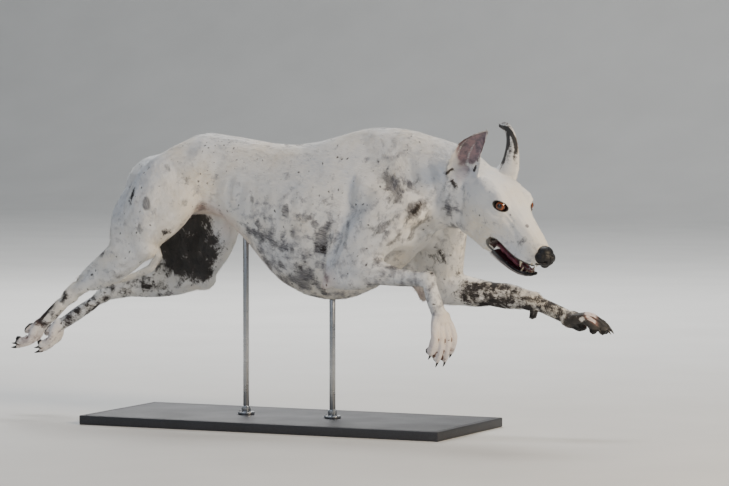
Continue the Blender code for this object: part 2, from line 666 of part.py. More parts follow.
def fuse(name, pieces, voxel, rounds, faces, collection, broad=None, broad_rounds=16):
    """Joins closed pieces into one skin: a voxel remesh, a smooth, a decimate to about that many faces."""
    bm = bmesh.new()
    for piece in pieces:
        mesh = bpy.data.meshes.new("piece")
        piece.to_mesh(mesh)
        piece.free()
        bm.from_mesh(mesh)
        bpy.data.meshes.remove(mesh)
    mesh = bpy.data.meshes.new(name)
    bm.to_mesh(mesh)
    bm.free()
    obj = new_object(name, mesh, collection)
    remesh = obj.modifiers.new("Fuse", "REMESH")
    remesh.mode = "VOXEL"
    remesh.voxel_size = voxel
    remesh.adaptivity = 0.0
    relax = obj.modifiers.new("Relax", "SMOOTH")
    relax.factor = 0.5
    relax.iterations = rounds
    apply_modifiers(obj)
    if broad:
        group = obj.vertex_groups.new(name="broad")
        for vert in obj.data.vertices:
            weight = broad(vert.co)
            if weight > 0.01:
                group.add([vert.index], weight, "REPLACE")
        level = obj.modifiers.new("Level", "SMOOTH")
        level.factor = 0.5
        level.iterations = broad_rounds
        level.vertex_group = "broad"
        apply_modifiers(obj)
        obj.vertex_groups.clear()
    thin = obj.modifiers.new("Thin", "DECIMATE")
    thin.ratio = min(1.0, faces / (2 * len(obj.data.polygons)))
    thin.use_collapse_triangulate = True
    apply_modifiers(obj)
    keep_largest(obj)
    return obj


def apply_modifiers(obj):
    graph = bpy.context.evaluated_depsgraph_get()
    mesh = bpy.data.meshes.new_from_object(obj.evaluated_get(graph))
    obj.modifiers.clear()
    old = obj.data
    obj.data = mesh
    bpy.data.meshes.remove(old)


def volume_of(faces):
    total = 0.0
    for face in faces:
        corners = [v.co for v in face.verts]
        for b, c in zip(corners[1:], corners[2:]):
            total += corners[0].dot(b.cross(c)) / 6
    return total


def keep_largest(obj):
    """Drops every closed surface of the mesh but the one with the most volume."""
    bm = bmesh.new()
    bm.from_mesh(obj.data)
    bmesh.ops.remove_doubles(bm, verts=bm.verts, dist=1e-7)
    left = set(bm.faces)
    islands = []
    while left:
        seed = left.pop()
        island, edge = {seed}, [seed]
        while edge:
            face = edge.pop()
            for e in face.edges:
                for other in e.link_faces:
                    if other not in island:
                        island.add(other)
                        edge.append(other)
        left -= island
        islands.append(island)
    islands.sort(key=volume_of, reverse=True)
    for island in islands[1:]:
        lost = volume_of(island) * 1e6
        if abs(lost) > 0.05:
            print(f"{obj.name} drops a scrap of {lost:.2f} cm3")
        bmesh.ops.delete(bm, geom=list(island), context="FACES")
    loose = [v for v in bm.verts if not v.link_faces]
    bmesh.ops.delete(bm, geom=loose, context="VERTS")
    bm.to_mesh(obj.data)
    bm.free()


def block(name, centre, size, turn, collection):
    """A box that cuts: its middle, its three sizes and its turn."""
    bm = bmesh.new()
    bmesh.ops.create_cube(bm, size=1.0)
    matrix = Matrix.Translation(centre) @ turn.to_4x4() @ Matrix.Diagonal((*size, 1.0))
    bmesh.ops.transform(bm, matrix=matrix, verts=bm.verts)
    mesh = bpy.data.meshes.new(name)
    bm.to_mesh(mesh)
    bm.free()
    obj = new_object(name, mesh, collection)
    obj.hide_render = True
    obj.display_type = "WIRE"
    return obj


def boolean(obj, other, operation):
    """Applies a Boolean, by the other solver where the exact one leaves nothing."""
    before = obj.data.copy()
    for solver in ("EXACT", "MANIFOLD"):
        cut = obj.modifiers.new(operation.title(), "BOOLEAN")
        cut.operation = operation
        cut.solver = solver
        cut.object = other
        bpy.context.view_layer.update()
        apply_modifiers(obj)
        if obj.data.polygons:
            break
        print(f"{obj.name}: the {solver} solver leaves nothing of it")
        obj.data = before.copy()
    bpy.data.meshes.remove(before)


def copy_of(obj, name, collection):
    return new_object(name, obj.data.copy(), collection)


def frame_along(direction, left=(0, 1, 0)):
    """A turn whose X runs along direction and whose Y is as near left as it can be."""
    x = Vector(direction).normalized()
    y = Vector(left) - x * x.dot(Vector(left))
    y.normalize()
    return Matrix((x, y, x.cross(y))).transposed()


def part_off(body, name, centre, size, turn, nodes, cutters):
    """Takes what of the body lies in this box as a node of its own, and leaves the rest a gap away."""
    inner = block(name + "_cut", centre, size, turn, cutters)
    outer = block(name + "_gap", centre, [s + 2 * GAP for s in size], turn, cutters)
    node = copy_of(body, name, nodes)
    boolean(node, inner, "INTERSECT")
    keep_largest(node)
    boolean(body, outer, "DIFFERENCE")
    return node


def half_space(point, normal, reach=0.6, shift=0.0):
    """Middle, size and turn of a large box on normal's side, whose one face passes through point."""
    turn = frame_along(normal, (0, 1, 0) if abs(Vector(normal).normalized().y) < 0.9 else (1, 0, 0))
    centre = Vector(point) + Vector(normal).normalized() * (reach / 2 + shift)
    return centre, (reach, reach, reach), turn


def solid(name, bm, collection):
    mesh = bpy.data.meshes.new(name)
    bm.to_mesh(mesh)
    bm.free()
    return new_object(name, mesh, collection)


def grown(obj, amount, collection):
    """A copy pushed out along its normals, to cut a neighbour a gap away."""
    copy = copy_of(obj, obj.name + "_grown", collection)
    bm = bmesh.new()
    bm.from_mesh(copy.data)
    bm.normal_update()
    for vert in bm.verts:
        vert.co += vert.normal * amount * vert.calc_shell_factor()
    bm.to_mesh(copy.data)
    bm.free()
    copy.hide_render = True
    copy.display_type = "WIRE"
    return copy


def add_all(obj, pieces, cutters):
    for i, piece in enumerate(pieces):
        helper = solid(f"{obj.name}_add{i}", piece, cutters)
        helper.hide_render = True
        boolean(obj, helper, "UNION")
        bpy.data.objects.remove(helper, do_unlink=True)
    keep_largest(obj)


def split(node, name, point, normal, nodes, cutters):
    """Gives what lies on the normal's side of a plane to a new node."""
    centre, size, turn = half_space(point, normal)
    return part_off(node, name, centre, size, turn, nodes, cutters)


def cut_plane(name):
    """Where the paw's own finer skin meets the leg's."""
    side = SIDES[name]
    carpus, knuckle, elbow = CARPUS[name], KNUCKLE[name], ELBOW[name]
    fore = ((knuckle - carpus).normalized() + (carpus - elbow).normalized() * 0.6).normalized()
    hock, toe, knee = HOCK[name], TOEROOT[name], KNEE[name]
    hind = (toe - hock).normalized()
    return {"fore": (carpus + fore * 0.010, fore), "hind": (hock + hind * 0.024, hind)}


def make_paw(paw, nodes, cutters):
    kind, name = paw.split("_")
    obj = fuse(paw, paw_masses(paw), PAW_VOXEL, 3, PAW_FACES, nodes)
    point, normal = cut_plane(name)["fore" if kind == "forepaw" else "hind"]
    centre, size, turn = half_space(point, normal)
    boolean(obj, block(paw + "_end", centre, size, turn, cutters), "INTERSECT")
    keep_largest(obj)
    add_all(obj, claws(paw), cutters)
    return obj


def leg_boxes(name):
    """Middle and size of the box that holds each leg."""
    side = SIDES[name]
    fore = (v3(0.42, side * 0.158, 0.30), (0.42, 0.20, 0.39)) if name == "left" else (
        v3(0.337, side * 0.166, 0.28), (0.45, 0.20, 0.39))
    hind = (v3(-0.40, side * 0.112, 0.245), (0.52, 0.20, 0.39))
    return fore, hind


def main():
    clear_scene()
    nodes = bpy.data.collections.new("Greyhound")
    cutters = bpy.data.collections.new("Cutters")
    for collection in (nodes, cutters):
        bpy.context.scene.collection.children.link(collection)

    body = fuse("torso", build_body_masses(), BODY_VOXEL, 6, BODY_FACES, nodes, on_trunk, 40)
    tail = solid("tail", tail_loft(), nodes)
    tail_room = block("tail_room", v3(0, 0, -1), (0.01, 0.01, 0.01), Matrix.Identity(3), cutters)
    tail_room.data = solid("tail_grown", tail_loft(GAP), cutters).data
    bpy.data.objects.remove(bpy.data.objects["tail_grown"], do_unlink=True)
    boolean(body, tail_room, "DIFFERENCE")
    keep_largest(body)

    nape = in_head(-0.030, 0.0, -0.010)
    nape_way = v3(0.90, -0.28, -0.34).normalized()
    nape_turn = frame_along(nape_way)
    nape_room = (nape + nape_way * (0.10 - GAP), (0.20, 0.22, 0.30), nape_turn)
    boolean(body, block("nape_cut", *nape_room, cutters), "DIFFERENCE")
    keep_largest(body)

    for name in SIDES:
        side = SIDES[name]
        (fore_centre, fore_size), (hind_centre, hind_size) = leg_boxes(name)
        straight = Matrix.Identity(3)
        hind = part_off(body, f"hindleg_{name}_thigh", hind_centre, hind_size, straight, nodes, cutters)
        splay = frame_along(v3(1, -side * 0.10, 0))
        fore = part_off(body, f"foreleg_{name}_upper", fore_centre, fore_size, splay, nodes, cutters)
        planes = cut_plane(name)
        for leg, key in ((hind, "hind"), (fore, "fore")):
            point, normal = planes[key]
            centre, size, turn = half_space(point, normal, shift=-GAP)
            boolean(leg, block(f"{leg.name}_{key}_end", centre, size, turn, cutters), "DIFFERENCE")
            keep_largest(leg)
        knee, hock, hip = KNEE[name], HOCK[name], HIP[name]
        bend = ((hock - knee).normalized() + (knee - hip).normalized() * 0.7).normalized()
        split(hind, f"hindleg_{name}_shank", knee + (hock - knee) * 0.16, bend, nodes, cutters)
        shoulder, elbow, carpus = SHOULDER[name], ELBOW[name], CARPUS[name]
        bend = ((carpus - elbow).normalized() + (elbow - shoulder).normalized() * 0.8).normalized()
        split(fore, f"foreleg_{name}_forearm", elbow + (carpus - elbow) * 0.10, bend, nodes, cutters)
        for paw in ("forepaw_", "hindpaw_"):
            make_paw(paw + name, nodes, cutters)

    split(body, "neck", v3(0.305, 0, 0.520), v3(0.93, 0, 0.10), nodes, cutters)

    head = fuse("head", head_masses() + neck_masses(), HEAD_VOXEL, 5, HEAD_FACES, nodes, on_cheek, 50)
    front = block("head_cut", nape + nape_way * 0.30, (0.60, 0.60, 0.60), nape_turn, cutters)
    boolean(head, front, "INTERSECT")
    keep_largest(head)

    # jaw, nose and eyes leave the head's mass, each with its own seat
    jaw = part_off(head, "lower_jaw", in_head(0.148 + 0.10, 0, -0.0555 - 0.04),
                   (0.2 * HEAD_SCALE, 0.1, 0.08 * HEAD_SCALE), HEAD_TURN, nodes, cutters)
    keep_largest(head)
    nose = fuse("nose", nose_masses(), 0.0020, 4, 200, nodes)
    boolean(head, grown(nose, GAP, cutters), "DIFFERENCE")
    keep_largest(head)
    for side in SIDES.values():
        turn = frame_along(HEAD_TURN @ v3(0.9, side * 0.42, 0.1), HEAD_LEFT)
        nostril = ball(in_head(0.2880, side * 0.0088, -0.0062), 0.0070, 0.0030, 0.0040, turn, 8)
        hole = solid("nostril", nostril, cutters)
        hole.hide_render = True
        boolean(nose, hole, "DIFFERENCE")
        bpy.data.objects.remove(hole, do_unlink=True)
    keep_largest(nose)
    for name, side in SIDES.items():
        solid(f"eye_{name}", ball(eye_centre(side), EYE_RADIUS, segments=14), nodes)
        socket = solid(f"socket_{name}", ball(eye_centre(side), EYE_RADIUS + GAP, segments=14), cutters)
        middle = eye_centre(side) + eye_gaze(side) * 0.012
        opening = solid(f"lids_{name}", ball(middle, *EYE_OPENING, eye_frame(side), 12), cutters)
        for cutter in (socket, opening):
            cutter.hide_render = True
            boolean(head, cutter, "DIFFERENCE")
    keep_largest(head)

    tongue = solid("tongue", tongue_loft(), nodes)
    for other in (jaw, head):
        boolean(tongue, grown(other, GAP, cutters), "DIFFERENCE")
        keep_largest(tongue)
    add_all(jaw, lower_teeth(), cutters)
    add_all(head, upper_teeth(), cutters)
    head_grown = grown(head, GAP, cutters)
    for name in SIDES:
        ear = solid(f"ear_{name}", ear_shell(name), nodes)
        boolean(ear, head_grown, "DIFFERENCE")
        keep_largest(ear)
    make_stand(body, nodes, cutters)
    for obj in nodes.objects:
        paint(obj)


def make_stand(body, nodes, cutters):
    bm = bmesh.new()
    bmesh.ops.create_cube(bm, size=1.0)
    plate = Matrix.Translation((0, 0, BASE_SIZE.z / 2)) @ Matrix.Diagonal((*BASE_SIZE, 1))
    bmesh.ops.transform(bm, matrix=plate, verts=bm.verts)
    upright = [e for e in bm.edges if abs(e.verts[0].co.z - e.verts[1].co.z) > 0.01]
    bmesh.ops.bevel(bm, geom=upright, offset=0.030, segments=6, affect="EDGES", profile=0.5)
    rim = [e for e in bm.edges if all(v.co.z > BASE_SIZE.z - 1e-5 for v in e.verts)]
    bmesh.ops.bevel(bm, geom=rim, offset=0.0025, segments=2, affect="EDGES", profile=0.5)
    solid("stand_base", bm, nodes)
    room = grown(body, GAP, cutters)
    for name, (x, top) in STAND_RODS.items():
        bm = bmesh.new()
        foot = BASE_SIZE.z + 0.0003
        profile = [(0.018, foot), (0.018, foot + 0.004), (0.0155, foot + 0.0065), (ROD_RADIUS, foot + 0.0085),
                   (ROD_RADIUS, top)]
        turns = [k * math.pi / 12 for k in range(24)]
        rings = [[v3(x + math.cos(a) * r, math.sin(a) * r, z) for a in turns] for r, z in profile]
        rod = solid(name, loft(rings), nodes)
        boolean(rod, room, "DIFFERENCE")
        keep_largest(rod)


def paint(obj):
    """A Principled material of its own for each node."""
    colour = PAINTS.get(obj.name.split("_")[0], (0.72, 0.71, 0.70))
    material = bpy.data.materials.new(obj.name + "_material")
    material.use_nodes = True
    shader = material.node_tree.nodes["Principled BSDF"]
    shader.inputs["Base Color"].default_value = (*colour, 1)
    shader.inputs["Roughness"].default_value = 0.35 if obj.name.split("_")[0] in PAINTS else 0.8
    obj.data.materials.clear()
    obj.data.materials.append(material)


main()
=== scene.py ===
import math

import bmesh
import bpy
import numpy as np
from mathutils import Matrix, Vector
from mathutils.bvhtree import BVHTree


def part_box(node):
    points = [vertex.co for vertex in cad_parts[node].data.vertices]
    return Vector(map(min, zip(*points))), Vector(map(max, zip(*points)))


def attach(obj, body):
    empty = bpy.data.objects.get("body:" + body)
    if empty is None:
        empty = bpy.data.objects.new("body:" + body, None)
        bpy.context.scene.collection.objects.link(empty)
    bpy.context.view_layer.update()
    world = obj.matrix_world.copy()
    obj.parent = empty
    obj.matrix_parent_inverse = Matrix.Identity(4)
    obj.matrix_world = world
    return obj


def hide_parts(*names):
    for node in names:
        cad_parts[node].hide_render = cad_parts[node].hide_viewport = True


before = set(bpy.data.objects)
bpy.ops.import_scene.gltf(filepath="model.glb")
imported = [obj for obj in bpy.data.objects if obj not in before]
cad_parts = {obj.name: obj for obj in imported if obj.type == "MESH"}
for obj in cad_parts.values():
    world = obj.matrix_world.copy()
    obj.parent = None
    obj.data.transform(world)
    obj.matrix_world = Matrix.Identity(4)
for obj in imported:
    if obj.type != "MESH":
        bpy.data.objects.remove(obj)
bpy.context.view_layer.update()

sides = {"right": -1.0, "left": 1.0}


def vec(x, y, z):
    return Vector((x, y, z))


def deselect():
    if bpy.context.mode != "OBJECT":
        bpy.ops.object.mode_set(mode="OBJECT")
    bpy.ops.object.select_all(action="DESELECT")


def pick(piece):
    deselect()
    piece.select_set(True)
    bpy.context.view_layer.objects.active = piece
    return piece


def modify(piece, kind, **settings):
    pick(piece)
    modifier = piece.modifiers.new(kind.title(), kind)
    for key, value in settings.items():
        setattr(modifier, key, value)
    bpy.ops.object.modifier_apply(modifier=modifier.name)
    return piece


def joinAll(pieces, name):
    deselect()
    for piece in pieces:
        piece.select_set(True)
    bpy.context.view_layer.objects.active = pieces[0]
    if len(pieces) > 1:
        bpy.ops.object.join()
    pieces[0].name = pieces[0].data.name = name
    return pieces[0]


def settle(piece):
    pick(piece)
    bpy.ops.object.transform_apply(location=True, rotation=True, scale=True)
    return piece


def copyPiece(piece, name, matrix):
    copy = bpy.data.objects.new(name, piece.data.copy())
    bpy.context.scene.collection.objects.link(copy)
    copy.data.name = name
    copy.data.transform(matrix)
    if matrix.determinant() < 0:
        copy.data.flip_normals()
    return copy


def finish(piece, material, replaces=(), smooth=True):
    pick(piece)
    if smooth:
        bpy.ops.object.shade_smooth()
    piece.data.materials.clear()
    piece.data.materials.append(material)
    if replaces:
        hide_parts(*replaces)
    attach(piece, "root")
    return piece


def coordsOf(piece):
    flat = np.empty(len(piece.data.vertices) * 3, np.float32)
    piece.data.vertices.foreach_get("co", flat)
    return flat.reshape(-1, 3).astype(float)


def setCoords(piece, coords):
    piece.data.vertices.foreach_set("co", coords.astype(np.float32).ravel())
    piece.data.update()


def normalsOf(piece):
    flat = np.empty(len(piece.data.vertices) * 3, np.float32)
    piece.data.vertex_normals.foreach_get("vector", flat)
    return flat.reshape(-1, 3).astype(float)


def ramp(values, low, high):
    share = np.clip((values - low) / (high - low), 0, 1)
    return share * share * (3 - 2 * share)


# Distance of each point from a path, and how far along the path its nearest place is (0 to 1)
def along(path, points):
    best = np.full(len(points), 9.0)
    share = np.zeros(len(points))
    count = len(path) - 1
    for i in range(count):
        a, b = np.array(path[i], float), np.array(path[i + 1], float)
        run = b - a
        t = np.clip((points - a) @ run / max(run @ run, 1e-12), 0, 1)
        gap = points - a - t[:, None] * run
        d = np.sqrt((gap * gap).sum(1))
        near = d < best
        best[near] = d[near]
        share[near] = (i + t[near]) / count
    return best, share


# Smooth curve through rows of numbers
def between(rows, steps):
    out = []
    for i in range(len(rows) - 1):
        p0, p1, p2 = rows[max(i - 1, 0)], rows[i], rows[i + 1]
        p3 = rows[min(i + 2, len(rows) - 1)]
        for k in range(steps):
            t = k / steps
            out.append([0.5 * (2 * b + (c - a) * t + (2 * a - 5 * b + 4 * c - d) * t * t
                               + (3 * b - a - 3 * c + d) * t ** 3) for a, b, c, d in zip(p0, p1, p2, p3)])
    return out + [list(rows[-1])]


# The camera stands where the photographer stood. Markings of the near side are placed by the same view.
cameraSet = {"place": vec(3.5213, -7.1764, 0.8092), "target": vec(0.1450, 0.0642, 0.3905), "lens": 185.68,
             "sensor": 36.0, "frame": (729, 486)}


def seenAt(points):
    ahead = (cameraSet["target"] - cameraSet["place"]).normalized()
    right = ahead.cross(vec(0, 0, 1)).normalized()
    up = right.cross(ahead)
    wide, high = cameraSet["frame"]
    focal = wide * cameraSet["lens"] / cameraSet["sensor"]
    gap = points - np.array(cameraSet["place"])
    deep = gap @ np.array(ahead)
    return wide / 2 + focal * (gap @ np.array(right)) / deep, high / 2 - focal * (gap @ np.array(up)) / deep


# Frame of the head: forward to the nose, left, up
headSet = {"origin": vec(0.4385, -0.020, 0.5365), "yaw": -30.0, "pitch": -32.0, "scale": 0.291 / 0.28,
           "eye": (0.1345, 0.0310, 0.0235), "gaze": (0.50, 0.80, 0.33), "slit": (0.84, -0.54, 0.045),
           "eyeRadius": 0.0140}
yaw, pitch = math.radians(headSet["yaw"]), math.radians(headSet["pitch"])
headForward = vec(math.cos(pitch) * math.cos(yaw), math.cos(pitch) * math.sin(yaw), math.sin(pitch))
headLeft = vec(-math.sin(yaw), math.cos(yaw), 0)
headTurn = Matrix((headForward, headLeft, headForward.cross(headLeft))).transposed()
headMatrix = np.array(headTurn)


def onHead(forward, left, up):
    return headSet["origin"] + headTurn @ (vec(forward, left, up) * headSet["scale"])


def inHead(points):
    return (points - np.array(headSet["origin"])) @ headMatrix / headSet["scale"]


def eyeFrame(side):
    f, l, u = headSet["eye"]
    gaze = (headTurn @ vec(headSet["gaze"][0], side * headSet["gaze"][1], headSet["gaze"][2])).normalized()
    slit = headTurn @ vec(headSet["slit"][0], side * headSet["slit"][1], headSet["slit"][2])
    slit = (slit - gaze * slit.dot(gaze)).normalized()
    over = gaze.cross(slit)
    if over.z < 0:
        over = -over
    return onHead(f, side * l, u), gaze, slit, over


# Joints of the pose
joint = {
    "shoulder": {"right": vec(0.314, -0.078, 0.466), "left": vec(0.360, 0.075, 0.464)},
    "elbow": {"right": vec(0.176, -0.094, 0.336), "left": vec(0.306, 0.095, 0.297)},
    "carpus": {"right": vec(0.370, -0.112, 0.330), "left": vec(0.512, 0.096, 0.279)},
    "knuckle": {"right": vec(0.402, -0.114, 0.242), "left": vec(0.612, 0.094, 0.239)},
    "hip": {"right": vec(-0.262, -0.052, 0.550), "left": vec(-0.262, 0.052, 0.545)},
    "knee": {"right": vec(-0.306, -0.084, 0.378), "left": vec(-0.252, 0.080, 0.306)},
    "hock": {"right": vec(-0.500, -0.060, 0.269), "left": vec(-0.482, 0.052, 0.262)},
    "toeRoot": {"right": vec(-0.582, -0.060, 0.196), "left": vec(-0.594, 0.044, 0.188)},
}
pawSet = {
    "forepaw_right": {"root": joint["knuckle"]["right"], "way": vec(0.03, 0.02, -1.0),
                      "upper": vec(0.80, -0.60, 0.05), "spread": 1.12, "bend": 1.1, "reach": 1.28},
    "forepaw_left": {"root": joint["knuckle"]["left"], "way": vec(0.98, 0.03, -0.15),
                     "upper": vec(0.15, 0.0, 1.0), "spread": 1.12, "bend": 1.0, "reach": 1.2},
    "hindpaw_right": {"root": joint["toeRoot"]["right"], "way": vec(-0.70, -0.05, -0.70),
                      "upper": vec(0.70, 0.0, -0.70), "spread": 0.90, "bend": 0.8, "reach": 1.0},
    "hindpaw_left": {"root": joint["toeRoot"]["left"], "way": vec(-0.55, -0.03, -0.82),
                     "upper": vec(0.82, 0.0, -0.55), "spread": 0.90, "bend": 0.8, "reach": 1.0},
}
toeOffsets = ((-0.0205, 0.80), (-0.0074, 1.0), (0.0074, 1.0), (0.0205, 0.80))


def toesOf(paw):
    s = pawSet[paw]
    way = s["way"].normalized()
    upper = (s["upper"] - way * s["upper"].dot(way)).normalized()
    across = way.cross(upper)
    toes = []
    for off, long in toeOffsets:
        reach = long * s["reach"]
        base = s["root"] + across * (off * 0.66) - way * 0.006
        knuckle = (s["root"] + across * (off * s["spread"]) + way * (0.030 * reach)
                   + upper * (0.011 * s["bend"]))
        tip = (s["root"] + across * (off * s["spread"] * 1.06) + way * (0.062 * reach)
               - upper * (0.005 * s["bend"]))
        toes.append((base, knuckle, tip))
    return toes, way, upper, across


# Rows of each ear from base to tip, in the head's frame: forward, out, up, half width, half angle of the cup
earRows = {
    "right": [(0.006, 0.028, -0.020, 0.012, 80), (0.004, 0.038, 0.000, 0.027, 86),
              (0.008, 0.046, 0.022, 0.034, 80),
              (0.014, 0.052, 0.046, 0.033, 72), (0.017, 0.056, 0.074, 0.0285, 64),
              (0.026, 0.057, 0.100, 0.0200, 56),
              (0.036, 0.056, 0.123, 0.0115, 50), (0.0435, 0.054, 0.141, 0.0032, 40)],
    "left": [(0.012, 0.028, -0.014, 0.012, 80), (0.020, 0.038, 0.008, 0.027, 84),
             (0.026, 0.045, 0.030, 0.033, 80),
             (0.022, 0.050, 0.053, 0.031, 74), (0.012, 0.0515, 0.077, 0.0250, 68),
             (-0.004, 0.0515, 0.0965, 0.0185, 62),
             (-0.027, 0.0520, 0.1020, 0.0120, 54), (-0.048, 0.0525, 0.0915, 0.0040, 40)],
}
earSet = {"facing": {"right": -48.0, "left": 78.0}, "wall": 0.0029, "arc": 26, "ridge": 0.0007}


# The body's regions, each a chain of bones: (name, start, end, girth). A hair lies along its bone.
tailPath = [(-0.335, 0, 0.552), (-0.368, 0, 0.535), (-0.384, 0, 0.500), (-0.382, 0, 0.462),
            (-0.358, 0, 0.418),
            (-0.330, 0, 0.386), (-0.318, 0, 0.356), (-0.334, 0, 0.330), (-0.372, 0, 0.312),
            (-0.416, 0, 0.300),
            (-0.452, 0, 0.293)]


def boneList():
    bones = [("head", onHead(0.28, 0, 0.0), onHead(0.14, 0, 0.012), 0.026),
             ("head", onHead(0.14, 0, 0.010), onHead(0.03, 0, 0.005), 0.050),
             ("head", onHead(0.26, 0, -0.062), onHead(0.08, 0, -0.075), 0.022),
             ("head", onHead(0.09, 0, -0.045), onHead(0.02, 0, -0.040), 0.045),
             ("neck", vec(0.442, -0.026, 0.493), vec(0.305, -0.002, 0.530), 0.075),
             ("neck", vec(0.430, -0.020, 0.470), vec(0.330, 0.0, 0.430), 0.060),
             ("trunk", vec(0.300, 0, 0.540), vec(0.050, 0, 0.520), 0.100),
             ("trunk", vec(0.050, 0, 0.520), vec(-0.140, 0, 0.545), 0.085),
             ("trunk", vec(-0.140, 0, 0.545), vec(-0.300, 0, 0.560), 0.080),
             ("trunk", vec(0.330, 0, 0.440), vec(0.120, 0, 0.380), 0.085),
             ("trunk", vec(0.120, 0, 0.380), vec(-0.080, 0, 0.470), 0.080)]
    for a, b in zip(tailPath, tailPath[1:]):
        bones.append(("tail", Vector(a), Vector(b), 0.013))
    for name, side in sides.items():
        j = {k: v[name] for k, v in joint.items()}
        fore, hind = pawSet["forepaw_" + name], pawSet["hindpaw_" + name]
        bones += [("shoulder_" + name, vec(0.265, side * 0.045, 0.600), j["shoulder"], 0.040),
                  ("shoulder_" + name, j["shoulder"], j["elbow"], 0.044),
                  ("forearm_" + name, j["elbow"], j["carpus"], 0.023),
                  ("pastern_" + name, j["carpus"], j["knuckle"], 0.016),
                  ("forepaw_" + name, fore["root"], fore["root"] + fore["way"].normalized() * 0.07, 0.020),
                  ("thigh_" + name, j["hip"], j["knee"], 0.058),
                  ("thigh_" + name, vec(-0.330, side * 0.045, 0.500), j["knee"], 0.045),
                  ("shank_" + name, j["knee"], j["hock"], 0.028),
                  ("rearPastern_" + name, j["hock"], j["toeRoot"], 0.014),
                  ("hindpaw_" + name, hind["root"], hind["root"] + hind["way"].normalized() * 0.06, 0.018)]
        rows = earRows[name]
        for a, b in zip(rows[1::2], rows[2::2]):
            bones.append(("ear_" + name, onHead(a[0], side * a[1], a[2]), onHead(b[0], side * b[1], b[2]),
                          0.018))
    return bones


# Share of each region at each point, and the way that the hair lies there
def regionsAt(points):
    share, lie, total = {}, np.zeros((len(points), 3)), np.zeros(len(points))
    for name, start, end, girth in boneList():
        d, _ = along([tuple(start), tuple(end)], points)
        weight = 1 / (0.2 + d / girth) ** 7
        if name in share:
            share[name] = share[name] + weight
        else:
            share[name] = weight.copy()
        lie += weight[:, None] * np.array((end - start).normalized())
        total += weight
    for name in share:
        share[name] /= total
    lie /= total[:, None]
    droop = share["trunk"] + share["neck"] * 0.8
    lie[:, 2] -= 0.28 * droop
    return share, lie


def linear(hexColour):
    parts = [int(hexColour[i:i + 2], 16) / 255 for i in (1, 3, 5)]
    return tuple(c / 12.92 if c <= 0.04045 else ((c + 0.055) / 1.055) ** 2.4 for c in parts) + (1.0,)


# Adds a node, sets its sockets (by name or number) and properties, and links what feeds it
def addNode(tree, kind, sockets=None, **settings):
    node = tree.nodes.new("ShaderNode" + kind)
    for key, value in settings.items():
        setattr(node, key, value)
    for key, value in (sockets or {}).items():
        if isinstance(value, bpy.types.NodeSocket):
            tree.links.new(value, node.inputs[key])
        elif isinstance(value, str):
            node.inputs[key].default_value = linear(value)
        else:
            node.inputs[key].default_value = value
    return node


def newMaterial(name, **constants):
    material = bpy.data.materials.new(name)
    material.use_nodes = True
    tree = material.node_tree
    shader = tree.nodes["Principled BSDF"]
    for key, value in constants.items():
        shader.inputs[key.replace("_", " ")].default_value = value
    return material, tree, shader


def addRamp(tree, source, *stops):
    node = addNode(tree, "ValToRGB", {"Fac": source})
    while len(node.color_ramp.elements) < len(stops):
        node.color_ramp.elements.new(0.5)
    for element, (place, colour) in zip(node.color_ramp.elements, stops):
        element.position = place
        element.color = linear(colour) if isinstance(colour, str) else (colour, colour, colour, 1)
    return node.outputs[0]


def calc(tree, kind, a, b=0.0, clamp=False):
    return addNode(tree, "Math", {0: a, 1: b}, operation=kind, use_clamp=clamp).outputs[0]


def layer(tree, under, over, amount, blend="MIX"):
    return addNode(tree, "Mix", {0: amount, 6: under, 7: over}, data_type="RGBA", blend_type=blend).outputs[2]


# The skin: copies of the flesh nodes fused into one hide, then muscles, folds, lids and lips worked into it
skinSet = {"voxel": 0.0015, "swell": 0.00045, "sink": 0.0010, "triangles": 190000, "trunkRounds": 60,
           "limbRounds": 12}
# Edges of the mouth in the head's frame: forward, out from the middle, up
upperLip = [(0.1395, 0.0345, -0.0477), (0.1585, 0.0325, -0.0415), (0.1765, 0.0310, -0.0408),
            (0.1973, 0.0290, -0.0419),
            (0.2194, 0.0265, -0.0415), (0.2342, 0.0245, -0.0389), (0.2473, 0.0215, -0.0358),
            (0.2575, 0.0165, -0.0345),
            (0.2620, 0.0090, -0.0340)]
lowerLip = [(0.1350, 0.0315, -0.0640), (0.1613, 0.0290, -0.0640), (0.1890, 0.0255, -0.0648),
            (0.2113, 0.0225, -0.0646),
            (0.2300, 0.0190, -0.0618), (0.2420, 0.0160, -0.0580), (0.2520, 0.0120, -0.0530),
            (0.2580, 0.0060, -0.0505)]
lipBand = [(0.1330, -0.0705), (0.1370, -0.0745), (0.1585, -0.0772), (0.1820, -0.0780), (0.2075, -0.0770),
           (0.2280, -0.0742), (0.2420, -0.0700), (0.2560, -0.0640), (0.2700, -0.0590)]


# A closed tube of rings of points
def ringMesh(name, rings):
    bm = bmesh.new()
    rows = [[bm.verts.new(p) for p in ring] for ring in rings]
    count = len(rows[0])
    for a, b in zip(rows, rows[1:]):
        for k in range(count):
            bm.faces.new((a[k], a[(k + 1) % count], b[(k + 1) % count], b[k]))
    bm.faces.new(rows[0][::-1])
    bm.faces.new(rows[-1])
    bmesh.ops.recalc_face_normals(bm, faces=bm.faces)
    mesh = bpy.data.meshes.new(name)
    bm.to_mesh(mesh)
    bm.free()
    piece = bpy.data.objects.new(name, mesh)
    bpy.context.scene.collection.objects.link(piece)
    return piece


def roll(path, radius, around=10, steps=3):
    rows = [Vector(p) for p in between([tuple(p) for p in path], steps)]
    rings, left = [], None
    for i, place in enumerate(rows):
        run = (rows[min(i + 1, len(rows) - 1)] - rows[max(i - 1, 0)]).normalized()
        left = run.orthogonal().normalized() if left is None else (left - run * left.dot(run)).normalized()
        up = run.cross(left)
        thick = radius * (0.5 if i in (0, len(rows) - 1) else 1)
        rings.append([place + left * (math.cos(2 * math.pi * k / around) * thick)
                      + up * (math.sin(2 * math.pi * k / around) * thick) for k in range(around)])
    return ringMesh("roll", rings)


